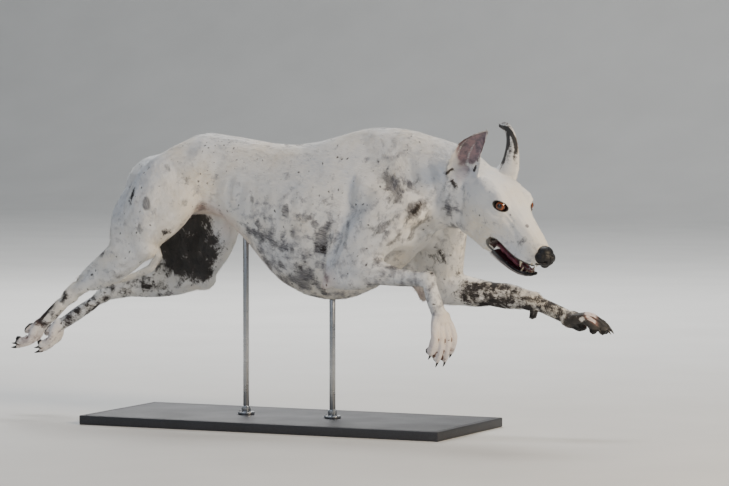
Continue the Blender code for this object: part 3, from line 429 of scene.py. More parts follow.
def earShell(name):
    side = sides[name]
    rows = between(earRows[name], 5)
    turn = math.radians(earSet["facing"][name])
    facing = vec(math.cos(turn), math.sin(turn), 0.10)
    arc, rings, edges = earSet["arc"], [], ([], [])
    for i, (forward, out, up, wide, cup) in enumerate(rows):
        a, b = rows[max(i - 1, 0)], rows[min(i + 1, len(rows) - 1)]
        run = vec(b[0] - a[0], side * (b[1] - a[1]), b[2] - a[2]).normalized()
        face = (facing - run * facing.dot(run)).normalized()
        across = run.cross(face)
        centre = vec(forward, side * out, up)
        half = math.radians(cup)
        radius = wide / math.sin(half)
        wall = earSet["wall"] / headSet["scale"] * (0.75 if wide < 0.006 else 1.0)
        share = i / (len(rows) - 1)
        ring = []
        for thick, order in ((0.0, range(arc)), (wall, range(arc - 1, -1, -1))):
            for k in order:
                angle = half * (k / ((arc - 1) / 2) - 1)
                ridges = earSet["ridge"] * math.cos(angle * 9) * math.sin(math.pi * share) if thick else 0
                reach = radius - thick + ridges
                ring.append(centre + across * (math.sin(angle) * reach)
                            - face * (math.cos(angle) * reach - radius * 0.55))
        ring = [onHead(*p) for p in ring]
        edges[0].append(tuple(ring[0]))
        edges[1].append(tuple(ring[arc - 1]))
        rings.append(ring)
    return ringMesh("ear", rings), edges, (headTurn @ facing).normalized()


def fleshCopy(name):
    piece = bpy.data.objects.new(name + "Flesh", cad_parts[name].data.copy())
    bpy.context.scene.collection.objects.link(piece)
    piece.data.materials.clear()
    pick(piece)
    bpy.ops.object.mode_set(mode="EDIT")
    bpy.ops.mesh.select_all(action="SELECT")
    bpy.ops.mesh.remove_doubles(threshold=1e-6)
    bpy.ops.object.mode_set(mode="OBJECT")
    coords = coordsOf(piece) + normalsOf(piece) * skinSet["swell"]
    if name in pawSet:          # claws are pieces of their own, so theirs are drawn back into the toes
        for _, knuckle, tip in toesOf(name)[0]:
            run = np.array((tip - knuckle).normalized())
            far = (coords - np.array(tip)) @ run
            off = np.linalg.norm(coords - np.array(tip) - far[:, None] * run, axis=1)
            coords[(far > 0.0083) & (far < 0.024) & (off < 0.012)] = np.array(tip) + run * 0.004
    if name in ("head", "lower_jaw"):       # and so are the teeth
        f, l, u = inHead(coords).T
        if name == "head":
            line = np.interp(f, [p[0] for p in upperLip], [p[2] for p in upperLip])
            inside = (f > 0.136) & (f < 0.262)
            u = np.where(inside & (u < line), line + 0.25 * np.clip(u - line, -0.004, 0), u)
        else:
            f = np.where(f > 0.20, 0.20 + (f - 0.20) * 0.90, f)
            line = np.interp(f, [p[0] for p in lowerLip], [p[2] for p in lowerLip]) - 0.001
            u = np.where((f > 0.15) & (u > line), line, u)
        coords = np.array(headSet["origin"]) + (np.stack([f, l, u], 1) * headSet["scale"]) @ headMatrix.T
    setCoords(piece, coords)
    return piece


# Frames for strokes: a flat drawing seen from one side, as (origin, first axis, second axis, way out, units)
def sideFrame(side):
    return np.zeros(3), np.array([1.0, 0, 0]), np.array([0, 0, 1.0]), np.array([0, side, 0.0]), (1, 1)


# Along a bone as a share of its length, and ahead of it in metres
def boneFrame(start, end, side, front):
    run = (end - start).normalized()
    out = (vec(0, side, 0) - run * run.y * side).normalized()
    ahead = run.cross(out)
    if ahead.dot(front) < 0:
        ahead = -ahead
    return np.array(start), np.array(run), np.array(ahead), np.array(out), ((end - start).length, 1)


def headFrame(side):
    return (np.array(headSet["origin"]), headMatrix[:, 0], headMatrix[:, 2], headMatrix[:, 1] * side,
            (headSet["scale"], headSet["scale"]))


# Presses a soft line into the skin, or raises one with a negative depth
def stroke(coords, normals, flatFrame, path, width, depth, where=1.0, both=False, ends=0.18):
    origin, first, second, out, units = flatFrame
    flat = np.stack([(coords - origin) @ first, (coords - origin) @ second], 1)
    distance, share = along([(a * units[0], b * units[1]) for a, b in path], flat)
    facing = normals @ out
    facing = np.abs(facing) if both else facing
    amount = depth * np.exp(-(distance / width) ** 2) * ramp(facing, 0.0, 0.5) * where
    if ends:
        amount = amount * ramp(share, 0, ends) * ramp(1 - share, 0, ends)
    coords -= normals * amount[:, None]


def swellAt(coords, normals, centre, radius, height, where=1.0):
    d = np.linalg.norm((coords - np.array(centre)) / np.array(radius), axis=1)
    coords += normals * (height * np.exp(-d * d) * where)[:, None]


# Muscle map: drawn once for a side in (x, z), and in each bone's own frame for the limbs
trunkStrokes = [    # path, width, depth
    # behind the triceps
    ([(0.180, 0.560), (0.178, 0.480), (0.157, 0.400), (0.136, 0.352)], 0.011, 0.0050),
    # the triceps' rear edge
    ([(0.205, 0.550), (0.200, 0.470), (0.180, 0.400)], 0.014, -0.0030),
    # spine of the shoulder blade
    ([(0.262, 0.605), (0.285, 0.545), (0.306, 0.485)], 0.010, -0.0022),
    ([(0.240, 0.590), (0.258, 0.530), (0.275, 0.480)], 0.012, 0.0020),
    ([(0.300, 0.590), (0.318, 0.540), (0.330, 0.490)], 0.012, 0.0022),
    # furrow before the shoulder
    ([(0.338, 0.585), (0.362, 0.530), (0.372, 0.470), (0.372, 0.430)], 0.014, 0.0045),
    # between arm and triceps
    ([(0.305, 0.468), (0.258, 0.412), (0.214, 0.362)], 0.009, 0.0024),
    ([(0.400, 0.560), (0.375, 0.500), (0.350, 0.445)], 0.010, 0.0018),                     # side of the neck
    # below the back muscle
    ([(0.110, 0.577), (0.000, 0.560), (-0.120, 0.570), (-0.190, 0.578)], 0.016, 0.0022),
    ([(0.130, 0.545), (0.020, 0.500), (-0.060, 0.478)], 0.020, 0.0012),
    # light fold of the flank
    ([(-0.086, 0.540), (-0.104, 0.500), (-0.096, 0.452)], 0.0050, -0.0020),
    ([(-0.099, 0.540), (-0.117, 0.500), (-0.108, 0.452)], 0.0080, 0.0025),
    # below the croup muscle
    ([(-0.190, 0.590), (-0.240, 0.560), (-0.281, 0.525)], 0.011, 0.0022),
    ([(0.330, 0.420), (0.270, 0.385), (0.220, 0.350)], 0.010, 0.0020),
]
thighStrokes = [([(0.12, 0.016), (0.50, 0.024), (0.80, 0.010)], 0.009, 0.0026),
                ([(0.10, -0.030), (0.45, -0.020), (0.80, -0.028), (1.0, -0.034)], 0.009, 0.0024),
                ([(0.55, 0.040), (0.85, 0.030), (1.0, 0.022)], 0.008, 0.0018),
                ([(0.90, -0.006), (1.06, -0.004)], 0.010, -0.0020)]                        # kneecap
# hollow before the Achilles cord
shankStrokes = [([(0.50, -0.026), (0.72, -0.0235), (0.93, -0.0150)], 0.0052, 0.0055),
                ([(0.08, -0.002), (0.45, -0.005), (0.80, -0.003)], 0.0055, 0.0018),
                ([(0.10, 0.014), (0.50, 0.009), (0.85, 0.006)], 0.0045, 0.0014),
                ([(0.20, -0.018), (0.50, -0.014)], 0.0050, 0.0014)]
forearmStrokes = [([(0.06, 0.008), (0.45, 0.005), (0.90, 0.003)], 0.0045, 0.0019),
                  ([(0.10, -0.008), (0.50, -0.007), (0.92, -0.006)], 0.0045, 0.0017),
                  ([(0.05, 0.018), (0.30, 0.013)], 0.0040, 0.0012),
                  ([(0.88, -0.001), (1.05, -0.001)], 0.0040, -0.0010)]
pasternStrokes = [([(0.10, 0.004), (0.95, 0.004)], 0.0026, 0.0011), ([(0.10, -0.005), (0.95, -0.005)], 0.0026,
                                                                     0.0012)]
headStrokes = [
    ([(0.132, 0.006), (0.100, -0.004), (0.055, 0.000)], 0.0075, -0.0016),                  # cheek bone
    ([(0.118, -0.006), (0.085, -0.015), (0.052, -0.012)], 0.0060, 0.0013),
    # below the tear line
    ([(0.153, 0.014), (0.176, 0.007), (0.204, -0.004)], 0.0055, 0.0017),
    ([(0.150, -0.010), (0.180, -0.014), (0.215, -0.016)], 0.0080, 0.0011),
    ([(0.198, -0.027), (0.225, -0.024), (0.250, -0.018)], 0.0080, -0.0012),                # whisker pad
    # front of the cheek muscle
    ([(0.108, -0.066), (0.112, -0.040), (0.122, -0.014)], 0.0060, 0.0016),
    # fold at the mouth's corner
    ([(0.126, -0.072), (0.132, -0.056), (0.130, -0.042)], 0.0035, 0.0016),
    ([(0.118, -0.070), (0.121, -0.055)], 0.0030, 0.0010),
    ([(0.062, -0.084), (0.036, -0.062), (0.024, -0.030)], 0.0080, 0.0022),                 # behind the cheek
    ([(0.045, -0.095), (0.018, -0.070), (0.004, -0.040)], 0.0060, 0.0016),
    ([(0.104, 0.040), (0.085, 0.046), (0.060, 0.046)], 0.0070, 0.0018),                    # behind the brow
    ([(0.110, 0.046), (0.134, 0.0475), (0.152, 0.0400)], 0.0045, -0.0013),                 # brow
    # below the lower lid
    ([(0.116, 0.008), (0.136, 0.0035), (0.156, 0.010)], 0.0028, 0.0012),
    ([(0.150, 0.0230), (0.166, 0.0185), (0.182, 0.0140)], 0.0022, 0.0012),                 # tear line
    # edge of the nose's bridge
    ([(0.175, 0.026), (0.205, 0.020), (0.235, 0.013)], 0.0040, -0.0008),
]
# Folds of the neck behind the cheek, seen from the side
neckFolds = [([(0.445, 0.575), (0.430, 0.530), (0.436, 0.480)], 0.0050, 0.0018),
             ([(0.425, 0.570), (0.410, 0.525), (0.415, 0.480)], 0.0050, 0.0013),
             ([(0.470, 0.455), (0.440, 0.450), (0.415, 0.462)], 0.0055, 0.0015)]


def workMuscles(coords, normals, share):
    print("skin: muscles, tendons and folds")
    trunk = share["trunk"] + share["neck"]
    for name, side in sides.items():
        flat = sideFrame(side)
        same = (coords[:, 1] * side > 0) * 1.0
        for path, width, depth in trunkStrokes:
            stroke(coords, normals, flat, path, width, depth, (trunk + share["shoulder_" + name]
                                                             + share["thigh_" + name] * 0.8) * same)
        for k in range(7):      # the last ribs, barely showing
            x = 0.135 - 0.034 * k
            stroke(coords, normals, flat, [(x, 0.535), (x - 0.022, 0.480), (x - 0.030, 0.425)], 0.0065,
                   0.0011,
                   share["trunk"] * same, ends=0.35)
        for path, width, depth in neckFolds:
            stroke(coords, normals, flat, path, width, depth, share["neck"] + share["head"] * 0.5)
        # flank hollow
        swellAt(coords, normals, (-0.150, side * 0.070, 0.520), (0.032, 0.050, 0.042), -0.0065, trunk)
        # hip bone
        swellAt(coords, normals, (-0.172, side * 0.062, 0.588), (0.016, 0.020, 0.014), 0.0035)
        j = {k: v[name] for k, v in joint.items()}
        for strokes, start, end, part in ((thighStrokes, "hip", "knee", "thigh_"),
                                          (shankStrokes, "knee", "hock", "shank_"),
                                          (forearmStrokes, "elbow", "carpus", "forearm_"),
                                          (pasternStrokes, "carpus", "knuckle", "pastern_"),
                                          (pasternStrokes, "hock", "toeRoot", "rearPastern_")):
            front = vec(0.5, 0, -1) if part in ("shank_", "rearPastern_") else vec(1, 0, 0.8)
            if part == "thigh_":
                front = vec(1, 0, 0)
            flatFrame = boneFrame(j[start], j[end], side, front)
            for path, width, depth in strokes:
                stroke(coords, normals, flatFrame, path, width, depth, share[part + name], both=True)
        for path, width, depth in headStrokes:
            stroke(coords, normals, headFrame(side), path, width, depth, share["head"])
    top = (np.array(headSet["origin"]), headMatrix[:, 0], headMatrix[:, 1], headMatrix[:, 2],
           (headSet["scale"], headSet["scale"]))
    stroke(coords, normals, top, [(0.085, 0), (0.130, 0), (0.165, 0)], 0.0070, 0.0020, share["head"])
    for paw in pawSet:      # clefts between the toes, above and below
        toes, way, upper, across = toesOf(paw)
        for (a, b, c), (d, e, g) in zip(toes, toes[1:]):
            path = [tuple((a + d) / 2 + way * 0.004), tuple((b + e) / 2), tuple((c + g) / 2 + way * 0.006)]
            middle = [(float(Vector(p).dot(way)), float(Vector(p).dot(across))) for p in path]
            flatFrame = (np.zeros(3), np.array(way), np.array(across), np.array(upper), (1, 1))
            stroke(coords, normals, flatFrame, middle, 0.0019, 0.0026, share[paw], both=True, ends=0.10)
    return coords


# A vertex group that holds a level between 0 and 1 for each point, in eighths
def addGroup(piece, name, level):
    group = piece.vertex_groups.new(name=name)
    level = np.round(level * 8).astype(int)
    for k in range(1, 9):
        group.add(np.nonzero(level == k)[0].tolist(), k / 8, "REPLACE")


def buildSkin():
    print("skin: flesh copies")
    fleshNodes = [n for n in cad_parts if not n.startswith(("stand", "eye", "nose", "tongue"))]
    pieces = [fleshCopy(n) for n in fleshNodes if not n.startswith("ear")]
    edges, faces = {}, {}
    for name in sides:
        ear, edges[name], faces[name] = earShell(name)
        pieces.append(ear)
    for side in sides.values():
        centre, gaze, slit, over = eyeFrame(side)
        for sign, high in ((1, 0.0086), (-1, 0.0080)):      # upper and lower lid: rolls along the almond
            arc = []
            for k in range(9):
                a = math.pi * k / 8
                flat = slit * (math.cos(a) * 0.0172) + over * (sign * math.sin(a) * high)
                deep = math.sqrt(max(0.0151 ** 2 - flat.length_squared, 0.0060 ** 2))
                arc.append(centre + flat + gaze * (deep - 0.0010))
            pieces.append(roll(arc, 0.0018))
        for path, radius, lift in ((upperLip, 0.0020, 0.0012), (lowerLip, 0.0034, -0.0034)):
            pieces.append(roll([onHead(f, side * l, u + lift) for f, l, u in path], radius))
        # the hanging edge of the lip
        for rise, inset in ((0.0050, 0.0004), (0.0090, 0.0016), (0.0130, 0.0036)):
            pieces.append(roll([onHead(f, side * (l - inset), u + rise) for f, l, u in upperLip[:-1]],
                               0.0031))
        for f, l, u, thick in ((0.1300, 0.0285, -0.0560, 0.0075), (0.1330, 0.0290, -0.0500, 0.0065),
                               # web of the cheek at the mouth's corner
                               (0.1330, 0.0285, -0.0625, 0.0060)):
            pieces.append(roll([onHead(f - 0.012, side * l, u), onHead(f, side * l, u),
                                onHead(f + 0.005, side * l, u)],
                               thick))
    skin = joinAll(pieces, "skin")
    print("skin: fused")
    modify(skin, "REMESH", mode="VOXEL", voxel_size=skinSet["voxel"], adaptivity=0.0)
    coords = coordsOf(skin)
    print("skin: smoothed,", len(coords), "points")
    share, _ = regionsAt(coords)
    fine = share["head"] + share["ear_right"] + share["ear_left"] + sum(share[p] for p in pawSet)
    limb = sum(share[k + s] for k in ("forearm_", "pastern_", "shank_", "rearPastern_")
               for s in sides) + share["tail"]
    broad = np.clip(1 - fine * 1.6 - limb * 1.6, 0, 1)
    for name, level, rounds in (("broad", broad, skinSet["trunkRounds"]),
                                ("limb", np.clip(1 - fine * 1.8, 0, 1), skinSet["limbRounds"])):
        addGroup(skin, name, level)
        modify(skin, "SMOOTH", factor=0.5, iterations=rounds, vertex_group=name)
    modify(skin, "SMOOTH", factor=0.5, iterations=2)
    coords = workMuscles(coordsOf(skin), normalsOf(skin), share)
    setCoords(skin, coords)
    modify(skin, "SMOOTH", factor=0.5, iterations=1)
    setCoords(skin, coordsOf(skin) - normalsOf(skin) * skinSet["sink"])
    skin.vertex_groups.clear()
    # plain places give up more faces than the head and paws
    addGroup(skin, "plain", 1 - np.clip(fine, 0, 1) * 0.85)
    triangles = len(skin.data.polygons) * 2
    print("skin: thinned from", triangles, "triangles")
    modify(skin, "DECIMATE", ratio=min(1.0, skinSet["triangles"] / triangles), vertex_group="plain",
           vertex_group_factor=1.0)
    skin.vertex_groups.clear()
    print("skin:", sum(len(p.vertices) - 2 for p in skin.data.polygons), "triangles")
    return skin, edges, faces, fleshNodes


coatSet = {
    "white": "#f2efe9", "cool": "#dcdfe3", "cream": "#efe3cd", "roan": "#85848a", "mottle": "#514f54",
    "tick": "#2b2624", "black": "#161415", "brown": "#302824", "pink": "#c08a7c", "innerEar": "#7d6b74",
    "leather": "#100f0f", "mouth": "#3b1a1e",
    "roanCloud": 0.020,     # clouds of roan are 20 mm across
    "mottleCell": 0.027,    # soft grey ovals of 10-18 mm, one in each 27 mm
    "tickCell": 0.0105,     # ticks of 1.5-4 mm, one in each 10 mm at most
    # a real hair is 0.06 mm thick; streaks are drawn 20 times coarser so that they show
    "hair": 0.0012,
}
markNames = ("pigmentAndShade", "grey", "roan", "mottles", "ticks", "bare", "innerEar", "leather", "mouth", "steep")


# Smooth-coated dog hair: fine, short, lying flat. White hair over pink skin, roan and mottles where black
# hairs are mixed in, black ticks, and black hairless skin on lips, lids and pads. The dark coat and grey patches
# also carry painted shade. Satin, with a soft edge.
def coatMaterial():
    s = coatSet
    material, tree, shader = newMaterial("SmoothDogCoat", Sheen_Weight=0.03, Sheen_Roughness=0.4,
                                         Specular_IOR_Level=0.32)
    here = addNode(tree, "TexCoord").outputs["Object"]
    mark = {name: addNode(tree, "Attribute", attribute_name=name).outputs["Fac"] for name in markNames}
    # hair streaks, drawn out along the trunk's lie and along the steep lie of thighs and legs
    streaks = []
    for angle in (16, 66):
        lie = addNode(tree, "Mapping", {"Vector": here, "Rotation": (0, math.radians(angle), 0),
                                        "Scale": (9.0, 1.2, 1.0)}, vector_type="TEXTURE")
        streaks.append(addNode(tree, "TexNoise", {"Vector": lie.outputs[0], "Scale": 0.5 / s["hair"],
                                                  "Detail": 3.0,
                                                  "Roughness": 0.62}).outputs["Fac"])
    streak = addNode(tree, "Mix", {0: mark["steep"], 2: streaks[0], 3: streaks[1]}).outputs[0]
    streak = addNode(tree, "MapRange", {0: streak, 1: 0.30, 2: 0.70, 3: 0.0, 4: 1.0}).outputs[0]
    warp = addNode(tree, "TexNoise", {"Vector": here, "Scale": 75.0, "Detail": 3.0}).outputs["Color"]
    warp = addNode(tree, "VectorMath", {0: warp, 1: (0.5, 0.5, 0.5)}, operation="SUBTRACT").outputs[0]
    warp = addNode(tree, "VectorMath", {0: warp, "Scale": 0.014}, operation="SCALE").outputs[0]
    moved = addNode(tree, "VectorMath", {0: here, 1: warp}, operation="ADD").outputs[0]

    broad = addNode(tree, "TexNoise", {"Vector": here, "Scale": 8.0, "Detail": 5.0}).outputs["Fac"]
    colour = addRamp(tree, broad, (0.38, s["cool"]), (0.52, s["white"]), (0.68, s["cream"]))
    colour = layer(tree, colour, s["white"], calc(tree, "MULTIPLY", streak, 0.75))
    # roan: clouds where black hairs are mixed with the white
    cloud = addNode(tree, "TexNoise", {"Vector": moved, "Scale": 1 / s["roanCloud"], "Detail": 5.0,
                                       "Roughness": 0.65}).outputs["Fac"]
    level = calc(tree, "SUBTRACT", 0.64, calc(tree, "MULTIPLY", mark["roan"], 0.27))
    grey = calc(tree, "MULTIPLY", calc(tree, "SUBTRACT", cloud, level), 5.0, True)
    hairs = calc(tree, "ADD", calc(tree, "MULTIPLY", calc(tree, "SUBTRACT", 1.0, streak), 0.60), 0.45)
    colour = layer(tree, colour, s["roan"], calc(tree, "MULTIPLY", grey, hairs))
    # mottles: soft ovals that stand taller than wide, kept only where a cell's own number allows
    tall = addNode(tree, "Mapping", {"Vector": moved, "Scale": (1.0, 1.0, 0.62),
                                     "Rotation": (0, 0.3, 0)}).outputs[0]
    cells = addNode(tree, "TexVoronoi", {"Vector": tall, "Scale": 1 / s["mottleCell"], "Randomness": 1.0})
    number = addNode(tree, "SeparateColor", {0: cells.outputs["Color"]})
    kept = calc(tree, "LESS_THAN", number.outputs[0], mark["mottles"])
    girth = calc(tree, "ADD", calc(tree, "MULTIPLY", number.outputs[1], 0.20), 0.24)
    oval = calc(tree, "MULTIPLY", calc(tree, "SUBTRACT", girth, cells.outputs["Distance"]), 7.0, True)
    oval = calc(tree, "MULTIPLY", calc(tree, "MULTIPLY", oval, kept), hairs)
    colour = layer(tree, colour, s["mottle"], calc(tree, "MULTIPLY", oval, 0.85))
    # grey patches: mottles, and painted shade laid in hollows and under the forelegs, in the mottle colour
    patch = calc(tree, "ADD", mark["grey"], calc(tree, "MULTIPLY", calc(tree, "SUBTRACT", cloud, 0.5), 1.3))
    patch = calc(tree, "MULTIPLY", calc(tree, "SUBTRACT", patch, 0.27), 3.4, True)
    patch = calc(tree, "MULTIPLY", patch, calc(tree, "MULTIPLY", mark["grey"], 5.0, True))
    colour = layer(tree, colour, s["mottle"], calc(tree, "MULTIPLY", calc(tree, "MULTIPLY", patch, hairs),
                                                   0.9))
    # ticks: small dark flecks
    cells = addNode(tree, "TexVoronoi", {"Vector": moved, "Scale": 1 / s["tickCell"], "Randomness": 1.0})
    number = addNode(tree, "SeparateColor", {0: cells.outputs["Color"]})
    kept = calc(tree, "LESS_THAN", number.outputs[0], mark["ticks"])
    girth = calc(tree, "ADD", calc(tree, "MULTIPLY", number.outputs[1], 0.18), 0.11)
    fleck = calc(tree, "MULTIPLY", calc(tree, "SUBTRACT", girth, cells.outputs["Distance"]), 9.0, True)
    colour = layer(tree, colour, s["tick"], calc(tree, "MULTIPLY", calc(tree, "MULTIPLY", fleck, kept), 0.85))
    # whole dark coat and painted shade, its edge broken by the hairs
    edge = calc(tree, "ADD", mark["pigmentAndShade"], calc(tree, "MULTIPLY", calc(tree, "SUBTRACT", cloud, 0.5), 1.5))
    edge = calc(tree, "ADD", edge, calc(tree, "MULTIPLY", calc(tree, "SUBTRACT", 0.5, streak), 0.22))
    dark = calc(tree, "MULTIPLY", calc(tree, "SUBTRACT", edge, 0.40), 4.0, True)
    dark = calc(tree, "MULTIPLY", dark, calc(tree, "MULTIPLY", mark["pigmentAndShade"], 6.0, True))
    tone = layer(tree, s["brown"], s["black"], calc(tree, "MULTIPLY", calc(tree, "SUBTRACT", edge, 0.6), 3.0,
                                                    True))
    colour = layer(tree, colour, tone, calc(tree, "MULTIPLY", dark, 0.95))
    # thin hair lets the skin through
    thin = calc(tree, "MULTIPLY", mark["bare"],
                calc(tree, "SUBTRACT", 1.1, calc(tree, "MULTIPLY", streak, 0.6)), True)
    colour = layer(tree, colour, s["pink"], calc(tree, "MULTIPLY", thin, 0.8))
    ear = addRamp(tree, cloud, (0.40, "#9a7c80"), (0.50, s["innerEar"]), (0.62, "#4a3f48"))
    colour = layer(tree, colour, ear, calc(tree, "MULTIPLY", mark["innerEar"], 0.92))
    colour = layer(tree, colour, s["leather"], mark["leather"])
    colour = layer(tree, colour, s["mouth"], mark["mouth"])
    tree.links.new(colour, shader.inputs["Base Color"])
    wet = calc(tree, "ADD", calc(tree, "MULTIPLY", mark["leather"], 0.10),
               calc(tree, "MULTIPLY", mark["mouth"], 0.38))
    tree.links.new(calc(tree, "SUBTRACT", 0.66, wet, True), shader.inputs["Roughness"])
    # leather's grain is 1 mm pebbles; hair stands 0.3 mm
    pebbles = addNode(tree, "TexVoronoi", {"Vector": here, "Scale": 950.0}).outputs["Distance"]
    fine = addNode(tree, "TexNoise", {"Vector": here, "Scale": 380.0, "Detail": 3.0}).outputs["Fac"]
    height = calc(tree, "ADD", streak, calc(tree, "MULTIPLY", fine, 0.5))
    height = addNode(tree, "Mix", {0: mark["leather"], 2: height, 3: pebbles}).outputs[0]
    bump = addNode(tree, "Bump", {"Height": height, "Strength": 0.6, "Distance": 0.0006})
    tree.links.new(bump.outputs[0], shader.inputs["Normal"])
    return material


# Markings and some painted shade. A spot is (across, down, half width, half height, strength) in the
# photograph's frame, laid on what carries it there; the side that the photograph doesn't show gets the same
# kinds of marks and shade in other places.
chestSpots = [(320, 244, 11, 12.5, 1), (314, 213, 5.6, 7, .8), (300, 221, 4.7, 9.3, .75),
              (287, 220, 3.4, 4, .7),
              (276, 229, 4.4, 7, .75), (266, 223, 3.3, 4.5, .65), (295, 198, 4.6, 4.6, .6),
              (280, 202, 3.3, 4.6, .6),
              (308, 266, 8, 8, .95), (298, 277, 7, 11, .9), (311, 284, 8, 6.5, .9), (286, 245, 8, 11, .75),
              (283, 272, 5.6, 9.3, .8), (269, 241, 3.9, 8, .7), (267, 257, 3.9, 6.4, .7),
              (255, 223, 2.7, 3.9, .6),
              (248, 228, 2.7, 3.9, .55), (273, 251, 3.9, 5, .6), (325, 232, 6.4, 6.4, .9),
              (330, 245, 4, 8, .95),
              (322, 201, 4.6, 9.5, .65), (328, 282, 5.8, 8, .9), (342, 192, 2.8, 5, .4),
              (262, 204, 2.4, 2.6, .5)]
# Shoulder blotches; the spot at (418, 207) is painted shade in the hollow at the base of the neck
shoulderSpotsAndHollowShade = [(364, 229, 9.5, 4.6, .6), (382, 223, 11, 9.5, .7), (395, 192, 6.4, 19, .6),
                 (385, 182, 5, 12.5, .55),
                 (370, 213, 4.6, 4.6, .5), (404, 182, 4.6, 11, .5), (395, 238, 9.5, 4.6, .6),
                 (409, 213, 6.4, 4.6, .7),
                 (418, 207, 9, 8, 1), (429, 223, 12.5, 5, .6), (451, 213, 8, 9.5, .55),
                 (445, 195, 8, 9.5, .35),
                 (420, 188, 5, 9.5, .5), (450, 200, 6, 4, .55), (446, 190, 3, 6, .5), (412, 232, 10, 5, .5)]
# Croup and flank mottles; the first spot is partly painted shade of the flank hollow before the thigh
croupSpotsAndFlankShade = [(211, 183, 12, 9, .5), (202, 206, 7.5, 6, .55), (188, 198, 6, 7.5, .4), (165, 201, 2.6, 9, .5),
              (185, 178, 6, 6, .35), (222, 168, 5, 5, .35), (113, 276, 9, 4.5, .5), (150, 165, 6, 5, .25)]
blackSpots = [(163.2, 230, 2.4, 6.4), (202, 212.2, 4.8, 1.5), (153, 187.7, 1.5, 2.2), (117, 232.4, 1.2, 3),
              (131.4, 234, 1.5, 2.4), (234, 161.7, 1.7, 1.6), (132.9, 192, 5, 1.2), (226, 155, 2.6, 1),
              (214, 152, 2, 1),
              (272, 156, 1.8, 1.2, .6), (50.6, 299, 1.7, 3)]
rearSpots = [(53, 308, 8, 6, .85), (66, 290, 4, 9, .6), (40, 322, 8, 6, .6), (60, 300, 6, 5, .5)]
# Near foreleg marks; the long thin one at (366, 284) is painted shadow along the forearm's underside
forelegSpotsAndUndersideShade = [(373, 261, 10.5, 2.6, .75), (388, 264, 9, 2.6, .8), (405, 268, 9, 3.4, .65),
                (423, 270, 7, 5, .6),
                (391, 277, 14, 3.6, .35), (432, 286, 4.3, 9, .45), (427, 302, 4.3, 7, .45),
                (443, 309, 3.6, 5.3, .35),
                (352, 268, 4, 6, .3), (366, 284, 20, 2.5, .35), (436, 322, 4, 7, .35)]
# Far leg mottles; the first two are painted shade under the breast, between the forelegs, where the hair is thin
farLegSpotsAndArmpitShade = [(437, 256, 13, 9, .75), (423, 242, 9, 5, .5), (470, 290, 12, 12, .75), (455, 272, 9, 7, .6),
               (500, 297, 22, 9, .7), (548, 306, 14, 7, .7)]


def lay(target, values):
    np.maximum(target, values, out=target)


def paintSpots(target, spots, where, px, py, power=1.0):
    for spot in spots:
        x, y, wide, high = spot[:4]
        d = np.sqrt(((px - x) / wide) ** 2 + ((py - y) / high) ** 2)
        lay(target, power * (spot[4] if len(spot) > 4 else 1.0) * (1 - ramp(d, 0.45, 1.45)) * where)


def paintLine(target, path, width, where, px, py, power=1.0):
    d, _ = along(path, np.stack([px, py], 1))
    lay(target, power * (1 - ramp(d, width * 0.5, width * 1.4)) * where)


